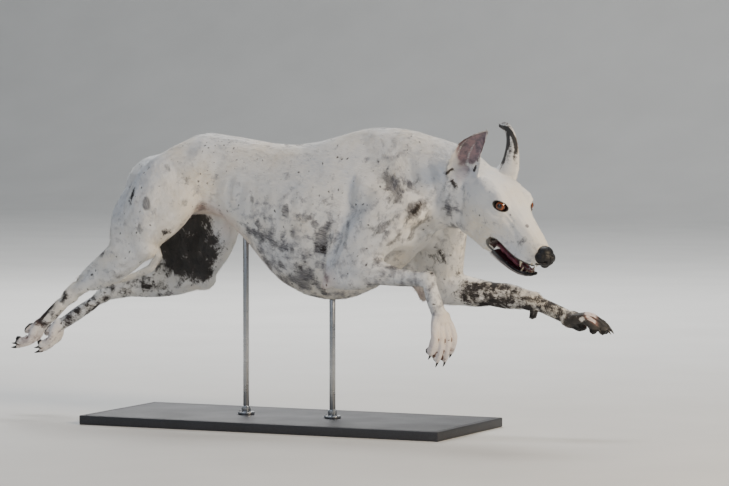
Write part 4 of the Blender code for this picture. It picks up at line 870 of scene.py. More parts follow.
def markingsAt(points, normals, share, earEdges, earFaces):
    mark = {n: np.zeros(len(points)) for n in markNames}
    x, y, z = points.T
    px, py = seenAt(points)
    toCamera = np.array(cameraSet["place"]) - points
    toCamera /= np.linalg.norm(toCamera, axis=1)[:, None]
    near = ramp((normals * toCamera).sum(1), -0.10, 0.20)
    flip = np.array([1, -1, 1])
    farX, farY = seenAt(points * flip)
    far = ramp((normals * flip * toCamera).sum(1), -0.10, 0.20) * ramp(y, 0.0, 0.03)
    body = share["trunk"] + share["neck"] + share["thigh_right"] + share["shoulder_right"]
    rightSide = 1 - ramp(y, -0.010, 0.015)

    # roan and soft ovals over the ribs, thickest low on the chest
    low = 1 - ramp(z, 0.40, 0.56)
    chest = share["trunk"] * ramp(x, -0.16, -0.02) * (1 - ramp(x, 0.20, 0.30))
    mark["roan"] = 0.26 + 0.50 * chest * low + 0.45 * share["neck"] * (1 - ramp(z, 0.48, 0.58))
    mark["roan"] += 0.34 * share["shoulder_right"] + 0.30 * share["shoulder_left"]
    mark["mottles"] = 0.05 + 0.50 * chest * low + 0.10 * share["thigh_right"] + 0.12 * share["thigh_left"]
    mark["ticks"] = 0.13 + 0.34 * (share["thigh_right"]
                                   + share["thigh_left"]) + 0.16 * share["trunk"] * (1 - low)
    lay(mark["ticks"], 0.75 * share["trunk"] * (1 - ramp(np.abs(x + 0.17), 0.03, 0.09)) * ramp(z, 0.50, 0.54))
    for side in sides:
        for part, roan, ticks in (("forearm_", 0.80, 0.5), ("pastern_", 0.75, 0.4), ("shank_", 0.50, 0.30),
                                  ("rearPastern_", 0.85, 0.5), ("hindpaw_", 0.7, 0.3)):
            lay(mark["roan"], roan * share[part + side])
            lay(mark["ticks"], ticks * share[part + side])
        mark["steep"] += share["thigh_" + side] + share["shoulder_" + side] + share["pastern_" + side]
        mark["steep"] += share["shank_" + side] * 0.4

    # near side, and the same kinds of marks and painted shade moved about on the side that isn't seen
    trunkNear = near * rightSide * body
    paintSpots(mark["grey"], chestSpots, near * rightSide * (share["trunk"] + 0.3 * share["shoulder_right"]),
               px, py)
    paintSpots(mark["grey"], shoulderSpotsAndHollowShade, trunkNear, px, py, 1.25)
    paintSpots(mark["grey"], croupSpotsAndFlankShade, trunkNear + near * share["shank_right"], px, py, 1.3)
    paintSpots(mark["grey"], forelegSpotsAndUndersideShade, near * (share["forearm_right"] + share["pastern_right"]
                                                   + 0.5 * share["shoulder_right"]), px, py)
    # painted shade: the dark hollow at the base of the neck, before the point of the shoulder
    paintSpots(mark["pigmentAndShade"], [(418, 207, 6.5, 5.5, .75)], trunkNear, px, py)
    paintSpots(mark["pigmentAndShade"], rearSpots, near * (share["rearPastern_right"] + share["shank_right"]
                                                   + share["hindpaw_right"]), px, py)
    paintSpots(mark["pigmentAndShade"], [(320, 250, 9, 10, .62), (305, 268, 7, 7, .55), (326, 240, 6, 6, .55)],
               trunkNear, px, py)
    paintSpots(mark["pigmentAndShade"], blackSpots, near * rightSide, px, py)
    paintLine(mark["pigmentAndShade"], [(298, 174.8), (305, 170.5), (313, 167)], 1.0, trunkNear, px, py, 0.9)
    farBody = far * (share["trunk"] + share["neck"] + share["thigh_left"] * 0.5 + share["shoulder_left"]
                     * 0.6)
    for spots, dx, dy, power in ((chestSpots, 14, -9, 0.85), (shoulderSpotsAndHollowShade, -8, 6, 0.8),
                                 (croupSpotsAndFlankShade, -10, 8, 0.9)):
        paintSpots(mark["grey"], [(a + dx, b + dy, c * 1.1, d * 0.9, e) for a, b, c, d, e in spots], farBody,
                   farX, farY,
                   power)
    paintSpots(mark["pigmentAndShade"], [(a + 21, b + 7, c, d) for a, b, c, d in blackSpots[2:7]], farBody, farX,
               farY, 0.9)

    # the far legs are dark and mottled; the hind one's inner thigh is black, mostly painted shadow over some
    # dark skin, but for its sunlit front edge
    lay(mark["pigmentAndShade"], 0.62 * (share["forearm_left"] + share["pastern_left"]))
    lay(mark["pigmentAndShade"], 0.46 * share["rearPastern_right"] + 0.56 * share["rearPastern_left"] + 0.50
        * share["shank_left"])
    # painted shade under the breast, with the far foreleg's own dark mottles
    paintSpots(mark["pigmentAndShade"], farLegSpotsAndArmpitShade, near * (share["shoulder_left"] + share["forearm_left"]
                                                     + share["trunk"] * 0.6), px, py)
    # painted shadow over the far thigh's inner side, kept off its sunlit front edge and its lower part
    frontEdge = np.interp(py, [230, 254, 274, 286], [243, 231, 221, 216])
    inner = ramp(-normals[:, 1], 0.0, 0.4) * (y > 0)
    lay(mark["pigmentAndShade"], 0.85 * share["thigh_left"] * inner * (1 - ramp(px, frontEdge - 13, frontEdge - 6))
        * (1 - ramp(py, 276, 290)))
    lay(mark["pigmentAndShade"], 0.90 * share["forepaw_left"])
    # painted light: sunlit cream on the far upper arm and along the top of the far forearm, and a real white
    # patch by the far paw, clear the dark coat
    cream = np.zeros(len(points))
    paintSpots(cream, [(530, 291, 9, 4, 1), (582, 319, 3, 3, .8), (470, 268, 6, 12, .6),
                       (462, 240, 9, 12, .8)], near, px, py)
    mark["pigmentAndShade"] *= 1 - cream
    lay(mark["bare"], 0.55 * share["forepaw_left"] * (1 - ramp(np.abs(px - 591), 4, 9))
        * ramp(normals[:, 2], 0.2, 0.6))
    mark["pigmentAndShade"] *= 1 - 0.8 * share["forepaw_left"] * (1 - ramp(np.abs(px - 591), 3,
                                                                   8)) * ramp(normals[:, 2], 0.3, 0.7)

    # thin hair: groin, armpit, elbow, the toes of the near paws
    under = ramp(-normals[:, 2], 0.35, 0.75)
    lay(mark["bare"], 0.45 * share["trunk"] * under * (1 - ramp(x, -0.10, 0.02)))
    lay(mark["bare"], 0.32 * share["forepaw_right"] + 0.30 * share["hindpaw_right"] + 0.2
        * share["hindpaw_left"])
    for name in sides:
        d = np.linalg.norm(points - np.array(joint["elbow"][name] + vec(-0.045, 0, -0.020)), axis=1)
        lay(mark["bare"], 0.55 * (1 - ramp(d, 0.010, 0.028)))

    paintPaws(mark, points, share)
    paintHead(mark, points, normals, share, px, py, near, earEdges, earFaces)
    return {name: np.clip(values, 0, 1) for name, values in mark.items()}


def paintPaws(mark, points, share):
    for paw in pawSet:
        toes, way, upper, _ = toesOf(paw)
        dark = 0.75 if paw != "forepaw_left" else 1.0
        for (a, b, c), (d, e, g) in zip(toes, toes[1:]):        # painted shade in the clefts between the toes
            gap, _ = along([tuple((a + d) / 2 + way * 0.006), tuple((b + e) / 2), tuple((c + g) / 2)], points)
            lay(mark["pigmentAndShade"], dark * (1 - ramp(gap, 0.0022, 0.0058)) * share[paw])
        for _, knuckle, tip in toes:
            gap = np.linalg.norm(points - np.array(tip - upper * 0.0055 - way * 0.004), axis=1)
            below = ramp(-(points - np.array(tip)) @ np.array(upper), 0.0010, 0.0042)
            lay(mark["leather"], (1 - ramp(gap, 0.0095, 0.0125)) * below)
            gap = np.linalg.norm(points - np.array(tip), axis=1)        # rim of dark skin round each claw
            ahead = ramp((points - np.array(tip)) @ np.array((tip - knuckle).normalized()), 0.004, 0.007)
            lay(mark["leather"], 0.9 * (1 - ramp(gap, 0.010, 0.013)) * ahead)
        middle = pawSet[paw]["root"] + way * 0.016 - upper * 0.0130
        gap = np.linalg.norm((points - np.array(middle)), axis=1)
        below = ramp(-(points - np.array(middle + upper * 0.002)) @ np.array(upper), 0.0, 0.003)
        lay(mark["leather"], (1 - ramp(gap, 0.016, 0.021)) * below
            * (share[paw] + share[paw.replace("forepaw", "pastern")
                                 .replace("hindpaw", "rearPastern")]))
    for centre, reach in ((vec(0.5185, 0.0955, 0.2480), 0.0125), (vec(0.3625, -0.1120, 0.3100), 0.0095)):
        gap = np.linalg.norm(points - np.array(centre), axis=1)
        low = ramp(-(points - np.array(centre)) @ np.array([0.5, 0, 0.8]), -0.002, 0.003)
        lay(mark["leather"], (1 - ramp(gap, reach * 0.95, reach * 1.15)) * low)


def paintHead(mark, points, normals, share, px, py, near, earEdges, earFaces):
    head = share["head"]
    f, l, u = inHead(points).T
    wide = np.abs(l)
    for name in ("roan", "mottles", "ticks", "pigmentAndShade", "bare", "grey"):
        mark[name] *= 1 - head
    lay(mark["roan"], 0.16 * head + 0.30 * head * (1 - ramp(u, -0.02, 0.02)) * ramp(f, 0.05, 0.15))
    paintSpots(mark["grey"], [(521, 238, 8, 8, .38), (527, 226, 2.4, 2.2, .7), (513, 226, 5, 3, .3),
                              (484, 222, 7, 7, .25),
                              (476, 232, 4, 3, .3), (509, 232, 6, 3, .3), (528, 247, 5, 5, .35)], near * head,
               px, py)
    paintSpots(mark["ticks"], [(523, 232, 10, 9, .3), (487, 224, 12, 10, .15)], near * head, px, py)

    # lips: a thin black upper edge and a thick lower band; all that lies between them is the mouth
    upper = np.interp(f, [p[0] for p in upperLip], [p[2] for p in upperLip])
    band = np.interp(f, [p[0] for p in lipBand], [p[1] for p in lipBand])
    cheek = np.interp(f, [p[0] for p in upperLip], [p[1] for p in upperLip])
    mouth = ramp(f, 0.1285, 0.1310) * (1 - ramp(f, 0.272, 0.275)) * head
    lift = 0.0034 * ramp(f, 0.128, 0.15) - 0.012 * (1 - ramp(f, 0.128, 0.140))
    within = ramp(upper + lift - u, -0.0006, 0.0006) * ramp(u - band, -0.0008, 0.0008) * mouth
    lay(mark["leather"], within)
    deep = within * (1 - ramp(wide, cheek - 0.0085, cheek - 0.0045)) * (1
                                                                        - ramp(u, upper - 0.003, upper + 0.0005))
    deep = deep * (1 - ramp(f, 0.240, 0.250))
    mark["mouth"] = deep
    mark["leather"] *= 1 - deep
    for name, side in sides.items():
        centre, gaze, slit, over = eyeFrame(side)
        gap = points - np.array(centre)
        a, b, c = gap @ np.array(gaze), gap @ np.array(slit), gap @ np.array(over)
        rim = np.sqrt((b / 0.0192) ** 2 + (c / 0.0106) ** 2)
        lay(mark["leather"], (1 - ramp(rim, 0.93, 1.03)) * (a > 0) * head)
        line, _ = along([tuple(onHead(0.1560, side * 0.0330, 0.0265)),
                         tuple(onHead(0.1640, side * 0.0285, 0.0225))],
                        points)
        lay(mark["leather"], (1 - ramp(line, 0.0020, 0.0034)) * head)
    mark["leather"] = np.where((f > 0.262) & (wide < 0.012) & (u < -0.022) & (u > -0.035), 1 * head,
                               mark["leather"])

    # ears: dark rims broken by white, a mauve inner face, and black over the back of the far one
    for name in sides:
        ear = share["ear_" + name]
        inward = ramp(normals @ np.array(earFaces[name]), 0.10, 0.40)
        rims = np.minimum(along(earEdges[name][0], points)[0], along(earEdges[name][1], points)[0])
        for kind in ("roan", "mottles", "ticks", "pigmentAndShade", "grey"):
            mark[kind] *= 1 - ear
        core = ramp(rims, 0.0022, 0.0060)
        grown = ramp(inHead(points)[:, 2], 0.012, 0.040) if name == "right" else 1.0
        mark["innerEar"] = np.maximum(mark["innerEar"], ramp(ear, 0.35, 0.6) * inward * core * grown)
        lay(mark["pigmentAndShade"], 0.42 * (1 - ramp(rims, 0.0015, 0.0045)) * ramp(ear, 0.3, 0.6))
        lay(mark["bare"], 0.35 * ear * inward)
    nearEar, farEar = share["ear_right"] * near, share["ear_left"] * near
    for path, width in (([(445, 176), (450, 168.5), (453, 171)], 1.9),
                        ([(459, 144.5), (465, 139), (471, 135.5)], 1.2),
                        ([(484, 139), (483.5, 147), (479.5, 153), (478, 161)], 1.1),
                        ([(452, 180), (458, 188)], 1.6),
                        ([(474, 171), (476, 166)], 1.5)):
        paintLine(mark["pigmentAndShade"], path, width, near * (share["ear_right"] + head * 0.8 + share["neck"]), px,
                  py)
    paintSpots(mark["bare"], [(460, 161, 4, 6, .9), (450, 176, 3, 3, .8)], nearEar, px, py)
    for path, width in (([(499, 127), (507, 128.5), (512, 134), (515.5, 142), (516.5, 150), (515, 158),
                          (517, 167)], 2.6),
                        ([(508, 134), (508, 144), (504.5, 153), (502.5, 162), (499.5, 170)], 2.4)):
        paintLine(mark["pigmentAndShade"], path, width, farEar, px, py)
    back = share["ear_left"] * ramp(-(normals @ np.array(earFaces["left"])), -0.2, 0.2)
    height = inHead(points)[:, 2]
    lay(mark["pigmentAndShade"], 0.52 * back * ramp(height, 0.045, 0.060))
    lay(mark["pigmentAndShade"], 0.50 * share["ear_right"] * ramp(-(normals @ np.array(earFaces["right"])), 0.1, 0.4)
        * ramp(height, 0.060, 0.085))


def paintSkin(skin, earEdges, earFaces):
    print("skin: markings")
    points, normals = coordsOf(skin), normalsOf(skin)
    share, _ = regionsAt(points)
    for name, values in markingsAt(points, normals, share, earEdges, earFaces).items():
        layer = skin.data.attributes.new(name, "FLOAT", "POINT")
        layer.data.foreach_set("value", values.astype(np.float32))


# The coat: thin flat tufts over the skin, each a tapering blade that follows the lie of the hair
tuftSet = {"pieces": 4, "perPiece": 62000, "seed": 7, "length": 0.0095, "width": 0.00080, "lift": 0.15,
           "unwrapFaces": 14000}


# An unwrap of the skin's own shape, from a thinned copy, for the tufts' bake places
def unwrapSkin(skin):
    copy = copyPiece(skin, "unwrapCopy", Matrix())
    modify(copy, "DECIMATE", ratio=tuftSet["unwrapFaces"] / len(copy.data.polygons))
    pick(copy)
    bpy.ops.object.mode_set(mode="EDIT")
    bpy.ops.mesh.select_all(action="SELECT")
    bpy.ops.uv.smart_project(angle_limit=math.radians(66), island_margin=0.002)
    bpy.ops.object.mode_set(mode="OBJECT")
    mesh = copy.data
    uvs = np.empty(len(mesh.loops) * 2, np.float32)
    mesh.uv_layers[0].data.foreach_get("uv", uvs)
    tree = BVHTree.FromPolygons([v.co for v in mesh.vertices], [p.vertices[:] for p in mesh.polygons])
    return copy, tree, uvs.reshape(-1, 2)


def buildCoat(skin, material):
    print("coat: tufts")
    mesh = skin.data
    mesh.calc_loop_triangles()
    corners = np.empty(len(mesh.loop_triangles) * 3, np.int32)
    mesh.loop_triangles.foreach_get("vertices", corners)
    corners = corners.reshape(-1, 3)
    coords, normals = coordsOf(skin), normalsOf(skin)
    marks = {}
    for name in markNames:
        flat = np.empty(len(coords), np.float32)
        mesh.attributes[name].data.foreach_get("value", flat)
        marks[name] = flat
    share, lie = regionsAt(coords)
    fine = np.clip(share["head"] + share["ear_right"] + share["ear_left"] + sum(share[p] for p in pawSet)
                   + 0.5 * sum(share[k + s] for k in ("pastern_", "rearPastern_") for s in sides), 0, 1)
    bald = np.clip(marks["leather"] + marks["mouth"] + marks["innerEar"] * 1.2 + marks["bare"] * 0.4, 0, 1)
    a, b, c = coords[corners[:, 0]], coords[corners[:, 1]], coords[corners[:, 2]]
    area = np.linalg.norm(np.cross(b - a, c - a), axis=1) / 2
    chance = area * (1 - bald[corners].max(1)) * (1 + 1.2 * fine[corners].mean(1))
    chance /= chance.sum()
    copy, tree, uvs = unwrapSkin(skin)
    rng = np.random.RandomState(tuftSet["seed"])
    pieces = []
    for number in range(tuftSet["pieces"]):
        count = tuftSet["perPiece"]
        face = rng.choice(len(corners), size=count, p=chance)
        r, s = np.sqrt(rng.rand(count)), rng.rand(count)
        shares = np.stack([1 - r, r * (1 - s), r * s], 1)

        def at(values):
            picked = values[corners[face]]
            return (picked * (shares if values.ndim == 1 else shares[:, :, None])).sum(1)

        root, up, way, small = at(coords), at(normals), at(lie), at(fine)
        up /= np.linalg.norm(up, axis=1)[:, None]
        way += rng.normal(0, 0.16, (count, 3)) * np.linalg.norm(way, axis=1)[:, None]
        way -= up * (way * up).sum(1)[:, None]
        way /= np.maximum(np.linalg.norm(way, axis=1), 1e-6)[:, None]
        across = np.cross(up, way)
        size = (0.65 + 0.7 * rng.rand(count)) * (1 - 0.62 * small)
        back = ramp(root[:, 0], 0.10,
                    0.20) * (1 - ramp(root[:, 0], 0.28, 0.36)) * ramp(root[:, 2], 0.60, 0.63)
        back += ramp(root[:, 0], -0.26,
                     -0.20) * (1 - ramp(root[:, 0], -0.17, -0.12)) * ramp(root[:, 2], 0.60, 0.62)
        lift = tuftSet["lift"] * (0.5 + rng.rand(count)) * (1 - 0.35 * small) * (1 + 0.9 * back)
        long = (tuftSet["length"] * size)[:, None]
        wide = (tuftSet["width"] * (0.7 + 0.6 * rng.rand(count)) * (1 - 0.35 * small))[:, None]
        low = root - up * 0.0004
        mid = low + (way + up * lift[:, None]) * long * 0.5
        tip = low + way * long + up * (lift[:, None] * long * 0.75 + 0.0003)
        points = np.stack([low - across * wide / 2, low + across * wide / 2, mid + across * wide * 0.42,
                           mid - across * wide * 0.42, tip], 1).reshape(-1, 3)
        first = np.arange(count)[:, None] * 5
        quads = first + np.array([1, 0, 3, 2])
        tips = first + np.array([2, 3, 4])
        piece = bpy.data.meshes.new(f"coatTufts_{number + 1}")
        piece.vertices.add(count * 5)
        piece.vertices.foreach_set("co", points.astype(np.float32).ravel())
        piece.loops.add(count * 7)
        piece.loops.foreach_set("vertex_index", np.concatenate([quads, tips], 1).astype(np.int32).ravel())
        piece.polygons.add(count * 2)
        starts = (np.arange(count)[:, None] * 7 + np.array([0, 4])).astype(np.int32)
        piece.polygons.foreach_set("loop_start", starts.ravel())
        piece.polygons.foreach_set("loop_total", np.tile(np.array([4, 3], np.int32), count))
        piece.update(calc_edges=True)
        piece.polygons.foreach_set("use_smooth", np.ones(count * 2, bool))
        shading = np.repeat(up, 5, axis=0)
        piece.normals_split_custom_set_from_vertices(shading.astype(np.float32).tolist())
        places = np.empty((count, 2))
        for i in range(count):
            _, _, index, _ = tree.find_nearest(root[i])
            places[i] = uvs[copy.data.polygons[index].loop_start]
        layer = piece.uv_layers.new(name="OFBake")
        patch = np.array([(0, 0), (1, 0), (0.9, 0.6), (0.1, 0.6), (0.1, 0.6), (0.9, 0.6), (0.5, 1)]) * 0.003
        layer.data.foreach_set("uv", (places[:, None, :] + patch[None]).astype(np.float32).ravel())
        for name in markNames:
            attribute = piece.attributes.new(name, "FLOAT", "POINT")
            attribute.data.foreach_set("value", np.repeat(at(marks[name]), 5).astype(np.float32))
        tufts = bpy.data.objects.new(piece.name, piece)
        bpy.context.scene.collection.objects.link(tufts)
        pieces.append(finish(tufts, material, smooth=False))
    bpy.data.objects.remove(copy)
    return pieces


# Eyes
eyeSet = {"iris": "#a2561a", "irisInner": "#5f2b0c", "irisEdge": "#2a1208", "pupil": "#040303",
          "white": "#54382e",
          "irisRadius": 0.0112, "pupilRadius": 0.0042, "bulge": 0.0011}


# A living eye: clear wet cornea over an amber iris with fibres and a dark rim, and one small hard highlight
def eyeMaterial():
    s = eyeSet
    material, tree, shader = newMaterial("WetEye", Roughness=0.12, Coat_Weight=1.0, Coat_Roughness=0.02,
                                         IOR=1.38)
    place = addNode(tree, "Attribute", attribute_name="eyePlace").outputs["Vector"]
    split = addNode(tree, "SeparateXYZ", {0: place})
    flat = addNode(tree, "CombineXYZ", {0: split.outputs[0], 1: split.outputs[1]}).outputs[0]
    radius = addNode(tree, "VectorMath", {0: flat}, operation="LENGTH").outputs["Value"]
    swirl = addNode(tree, "VectorMath", {0: flat}, operation="NORMALIZE").outputs[0]
    fibre = addNode(tree, "TexNoise", {"Vector": swirl, "Scale": 13.0, "Detail": 4.0}).outputs["Fac"]
    iris, pupil = (s[k] / headSet["eyeRadius"] for k in ("irisRadius", "pupilRadius"))
    ring = addRamp(tree, radius, (0.0, s["pupil"]), (pupil * 0.94, s["pupil"]),
                   (pupil * 1.15, s["irisInner"]),
                   (iris * 0.66, s["iris"]), (iris * 0.88, s["irisEdge"]), (iris * 0.99, "#080505"),
                   (iris * 1.12, s["white"]))
    shade = addRamp(tree, fibre, (0.36, 0.5), (0.64, 1.0))
    colour = layer(tree, ring, shade, 1.0, "MULTIPLY")
    tree.links.new(colour, shader.inputs["Base Color"])
    return material


def buildEyes():
    print("eyes")
    material = eyeMaterial()
    for name, side in sides.items():
        centre, gaze, slit, _ = eyeFrame(side)
        deselect()
        bpy.ops.mesh.primitive_uv_sphere_add(segments=96, ring_count=64, radius=headSet["eyeRadius"] - 0.0002)
        eye = bpy.context.object
        eye.name = eye.data.name = "eyeball_" + name
        coords = coordsOf(eye)
        polar = coords / headSet["eyeRadius"]
        layer = eye.data.attributes.new("eyePlace", "FLOAT_VECTOR", "POINT")
        layer.data.foreach_set("vector", polar.astype(np.float32).ravel())
        coords[:, 2] += (coords[:, 2] > 0) * (1 - ramp(np.hypot(coords[:, 0], coords[:, 1]), 0.0,
                                                       0.0108)) * eyeSet["bulge"]
        turn = np.array(Matrix((slit, gaze.cross(slit), gaze)).transposed())
        setCoords(eye, coords @ turn.T + np.array(centre))
        finish(eye, material, ("eye_" + name,))


# Nose, teeth and tongue
noseSet = {"balls": [((0.2745, 0, -0.0070), (0.0150, 0.0185, 0.0150)),
                     ((0.2670, 0, 0.0040), (0.0150, 0.0160, 0.0105)),
                      ((0.2765, 0, -0.0165), (0.0095, 0.0100, 0.0095)),
                     ((0.2715, 0.0110, -0.0065), (0.0135, 0.0105, 0.0120)),
                      ((0.2715, -0.0110, -0.0065), (0.0135, 0.0105, 0.0120))],
           "voxel": 0.00055, "colour": "#0b0a0b", "worn": "#1a1819", "pebble": 0.0011}


# Hairless nose leather: black, pebbled at about 1 mm, damp, so that it glistens
def noseMaterial():
    s = noseSet
    material, tree, shader = newMaterial("NoseLeather", Coat_Weight=0.10, Coat_Roughness=0.3,
                                         Specular_IOR_Level=0.4)
    here = addNode(tree, "TexCoord").outputs["Object"]
    cells = addNode(tree, "TexVoronoi", {"Vector": here, "Scale": 1 / s["pebble"], "Randomness": 0.9},
                    feature="SMOOTH_F1")
    broad = addNode(tree, "TexNoise", {"Vector": here, "Scale": 160.0, "Detail": 4.0}).outputs["Fac"]
    colour = addRamp(tree, broad, (0.40, s["colour"]), (0.70, s["worn"]))
    colour = layer(tree, colour, "#242122",
                   calc(tree, "MULTIPLY", calc(tree, "SUBTRACT", 0.45, cells.outputs["Distance"]),
                        0.35, True))
    tree.links.new(colour, shader.inputs["Base Color"])
    tree.links.new(addRamp(tree, broad, (0.3, 0.42), (0.7, 0.58)), shader.inputs["Roughness"])
    bump = addNode(tree, "Bump", {"Height": calc(tree, "SUBTRACT", 1.0, cells.outputs["Distance"]),
                                  "Strength": 0.7,
                                  "Distance": 0.0004})
    tree.links.new(bump.outputs[0], shader.inputs["Normal"])
    return material


def buildNose():
    print("nose")
    s = noseSet
    balls = []
    for (f, l, u), (rf, rl, ru) in s["balls"]:
        deselect()
        bpy.ops.mesh.primitive_uv_sphere_add(segments=48, ring_count=32, radius=1.0)
        ball = bpy.context.object
        ball.data.transform(Matrix.Diagonal((rf * headSet["scale"], rl * headSet["scale"],
                                             ru * headSet["scale"], 1)))
        ball.data.transform(headTurn.to_4x4())
        ball.data.transform(Matrix.Translation(onHead(f, l, u)))
        balls.append(ball)
    nose = joinAll(balls, "noseLeather")
    modify(nose, "REMESH", mode="VOXEL", voxel_size=s["voxel"], adaptivity=0.0)
    modify(nose, "SMOOTH", factor=0.5, iterations=24)
    coords, normals = coordsOf(nose), normalsOf(nose)
    front = (np.array(headSet["origin"]), headMatrix[:, 1], headMatrix[:, 2], headMatrix[:, 0],
             (headSet["scale"], headSet["scale"]))
    # philtrum
    stroke(coords, normals, front, [(0, 0.0060), (0, -0.0080), (0, -0.0230)], 0.0011, 0.0016, ends=0.10)
    for side in sides.values():
        f, l, u = inHead(coords).T
        hole = np.exp(-(((l - side * 0.0085) / 0.0030) ** 2
                        + ((u + 0.0075) / 0.0028) ** 2) ** 1.5) * (f > 0.272)
        coords -= np.array(headForward)[None] * (hole * 0.0060)[:, None]
        stroke(coords, normals, front, [(side * 0.0100, -0.0070), (side * 0.0135, -0.0100),
                                        (side * 0.0180, -0.0105)],
               0.0012, 0.0030, ends=0)                                                      # slit of the wing
        stroke(coords, normals, front, [(side * 0.0050, 0.0030), (side * 0.0100, 0.0010),
                                        (side * 0.0135, -0.0040)],
               0.0028, -0.0010, ends=0.2)                                                   # raised wing
    setCoords(nose, coords)
    modify(nose, "SMOOTH", factor=0.4, iterations=2)
    modify(nose, "DECIMATE", ratio=0.5)
    finish(nose, noseMaterial(), ("nose",))


# side, root, tip (in the head's frame), root radius
teethSet = {"upper": [((0.2300, 0.0200, -0.0330), (0.2375, 0.0205, -0.0520), 0.0031),
                      ((0.1980, 0.0215, -0.0370), (0.1985, 0.0210, -0.0450), 0.0030),
                      ((0.1840, 0.0230, -0.0370), (0.1845, 0.0225, -0.0450), 0.0034),
                      ((0.2460, 0.0130, -0.0320), (0.2490, 0.0130, -0.0405), 0.0019),
                      ((0.2500, 0.0080, -0.0320), (0.2530, 0.0080, -0.0400), 0.0018),
                      ((0.2520, 0.0027, -0.0320), (0.2550, 0.0027, -0.0395), 0.0018)],
            "lower": [((0.2360, 0.0130, -0.0640), (0.2395, 0.0138, -0.0500), 0.0024),
                      ((0.2450, 0.0085, -0.0590), (0.2475, 0.0085, -0.0510), 0.0016),
                      ((0.2480, 0.0045, -0.0580), (0.2505, 0.0045, -0.0500), 0.0015),
                      ((0.2490, 0.0014, -0.0580), (0.2515, 0.0014, -0.0500), 0.0015)],
            "enamel": "#cfc4ab", "root": "#8f7a58"}


# Tooth enamel: hard, slightly translucent ivory, wet, yellower in patches
def enamelMaterial():
    material, tree, shader = newMaterial("ToothEnamel", Roughness=0.22, Coat_Weight=0.4, Coat_Roughness=0.1,
                                         IOR=1.62)
    here = addNode(tree, "TexCoord").outputs["Object"]
    noise = addNode(tree, "TexNoise", {"Vector": here, "Scale": 260.0, "Detail": 3.0}).outputs["Fac"]
    colour = addRamp(tree, noise, (0.35, teethSet["root"]), (0.55, teethSet["enamel"]))
    tree.links.new(colour, shader.inputs["Base Color"])
    bump = addNode(tree, "Bump", {"Height": noise, "Strength": 0.15, "Distance": 0.0003})
    tree.links.new(bump.outputs[0], shader.inputs["Normal"])
    return material


# Extrudes a round tip ring by ring. Each is (rise, drift, share of the width), in units of its length
def growHorn(name, width, rings, around=14):
    deselect()
    bpy.ops.mesh.primitive_circle_add(vertices=around, radius=width, fill_type="NGON", location=(0, 0, 0))
    horn = bpy.context.object
    horn.name = name
    bpy.ops.object.mode_set(mode="EDIT")
    bpy.ops.mesh.select_all(action="SELECT")
    high = drift = 0.0
    girth = 1.0
    for rise, lean, share in rings:
        bpy.ops.mesh.extrude_region_move(TRANSFORM_OT_translate={"value": (lean - drift, 0, rise - high)})
        bpy.ops.transform.resize(value=(share / girth, share / girth, 1), center_override=(lean, 0, rise))
        high, drift, girth = rise, lean, share
    bpy.ops.mesh.select_all(action="SELECT")
    bpy.ops.mesh.normals_make_consistent(inside=False)
    bpy.ops.object.mode_set(mode="OBJECT")
    return horn


def standOn(start, end, toward, width=1.0):
    z = end - start
    x = (toward - z * toward.dot(z) / z.length_squared).normalized()
    y = z.normalized().cross(x)
    turn = Matrix((x * width, y * width, z)).transposed().to_4x4()
    return Matrix.Translation(start) @ turn


def buildTeeth():
    print("teeth")
    tooth = growHorn("tooth", 1.0, [(0.25, 0.00, 1.06), (0.50, 0.05, 0.92), (0.72, 0.12, 0.66),
                                    (0.88, 0.20, 0.40),
                                    (0.97, 0.25, 0.18), (1.0, 0.27, 0.05)])
    copies = []
    for rows in (teethSet["upper"], teethSet["lower"]):
        for start, end, width in rows:
            for side in sides.values():
                a, b = onHead(start[0], side * start[1], start[2]), onHead(end[0], side * end[1], end[2])
                copies.append(copyPiece(tooth, "tooth", standOn(a, b, -headForward, width)))
    bpy.data.objects.remove(tooth)
    teeth = joinAll(copies, "teeth")
    modify(teeth, "SUBSURF", levels=1, render_levels=1)
    finish(teeth, enamelMaterial())


tongueSet = {"voxel": 0.0009, "colour": "#8e4a55", "deep": "#5d2b36", "papilla": 0.0012}


# Tongue: wet muscle under a velvet of 1 mm papillae, mauve pink and darker in patches
def tongueMaterial():
    s = tongueSet
    material, tree, shader = newMaterial("WetTongue", Coat_Weight=0.3, Coat_Roughness=0.2)
    here = addNode(tree, "TexCoord").outputs["Object"]
    noise = addNode(tree, "TexNoise", {"Vector": here, "Scale": 70.0, "Detail": 4.0}).outputs["Fac"]
    cells = addNode(tree, "TexVoronoi", {"Vector": here, "Scale": 1 / s["papilla"]}).outputs["Distance"]
    colour = addRamp(tree, noise, (0.38, s["deep"]), (0.62, s["colour"]))
    tree.links.new(colour, shader.inputs["Base Color"])
    tree.links.new(addRamp(tree, noise, (0.3, 0.32), (0.7, 0.5)), shader.inputs["Roughness"])
    bump = addNode(tree, "Bump", {"Height": cells, "Strength": 0.5, "Distance": 0.0004})
    tree.links.new(bump.outputs[0], shader.inputs["Normal"])
    return material


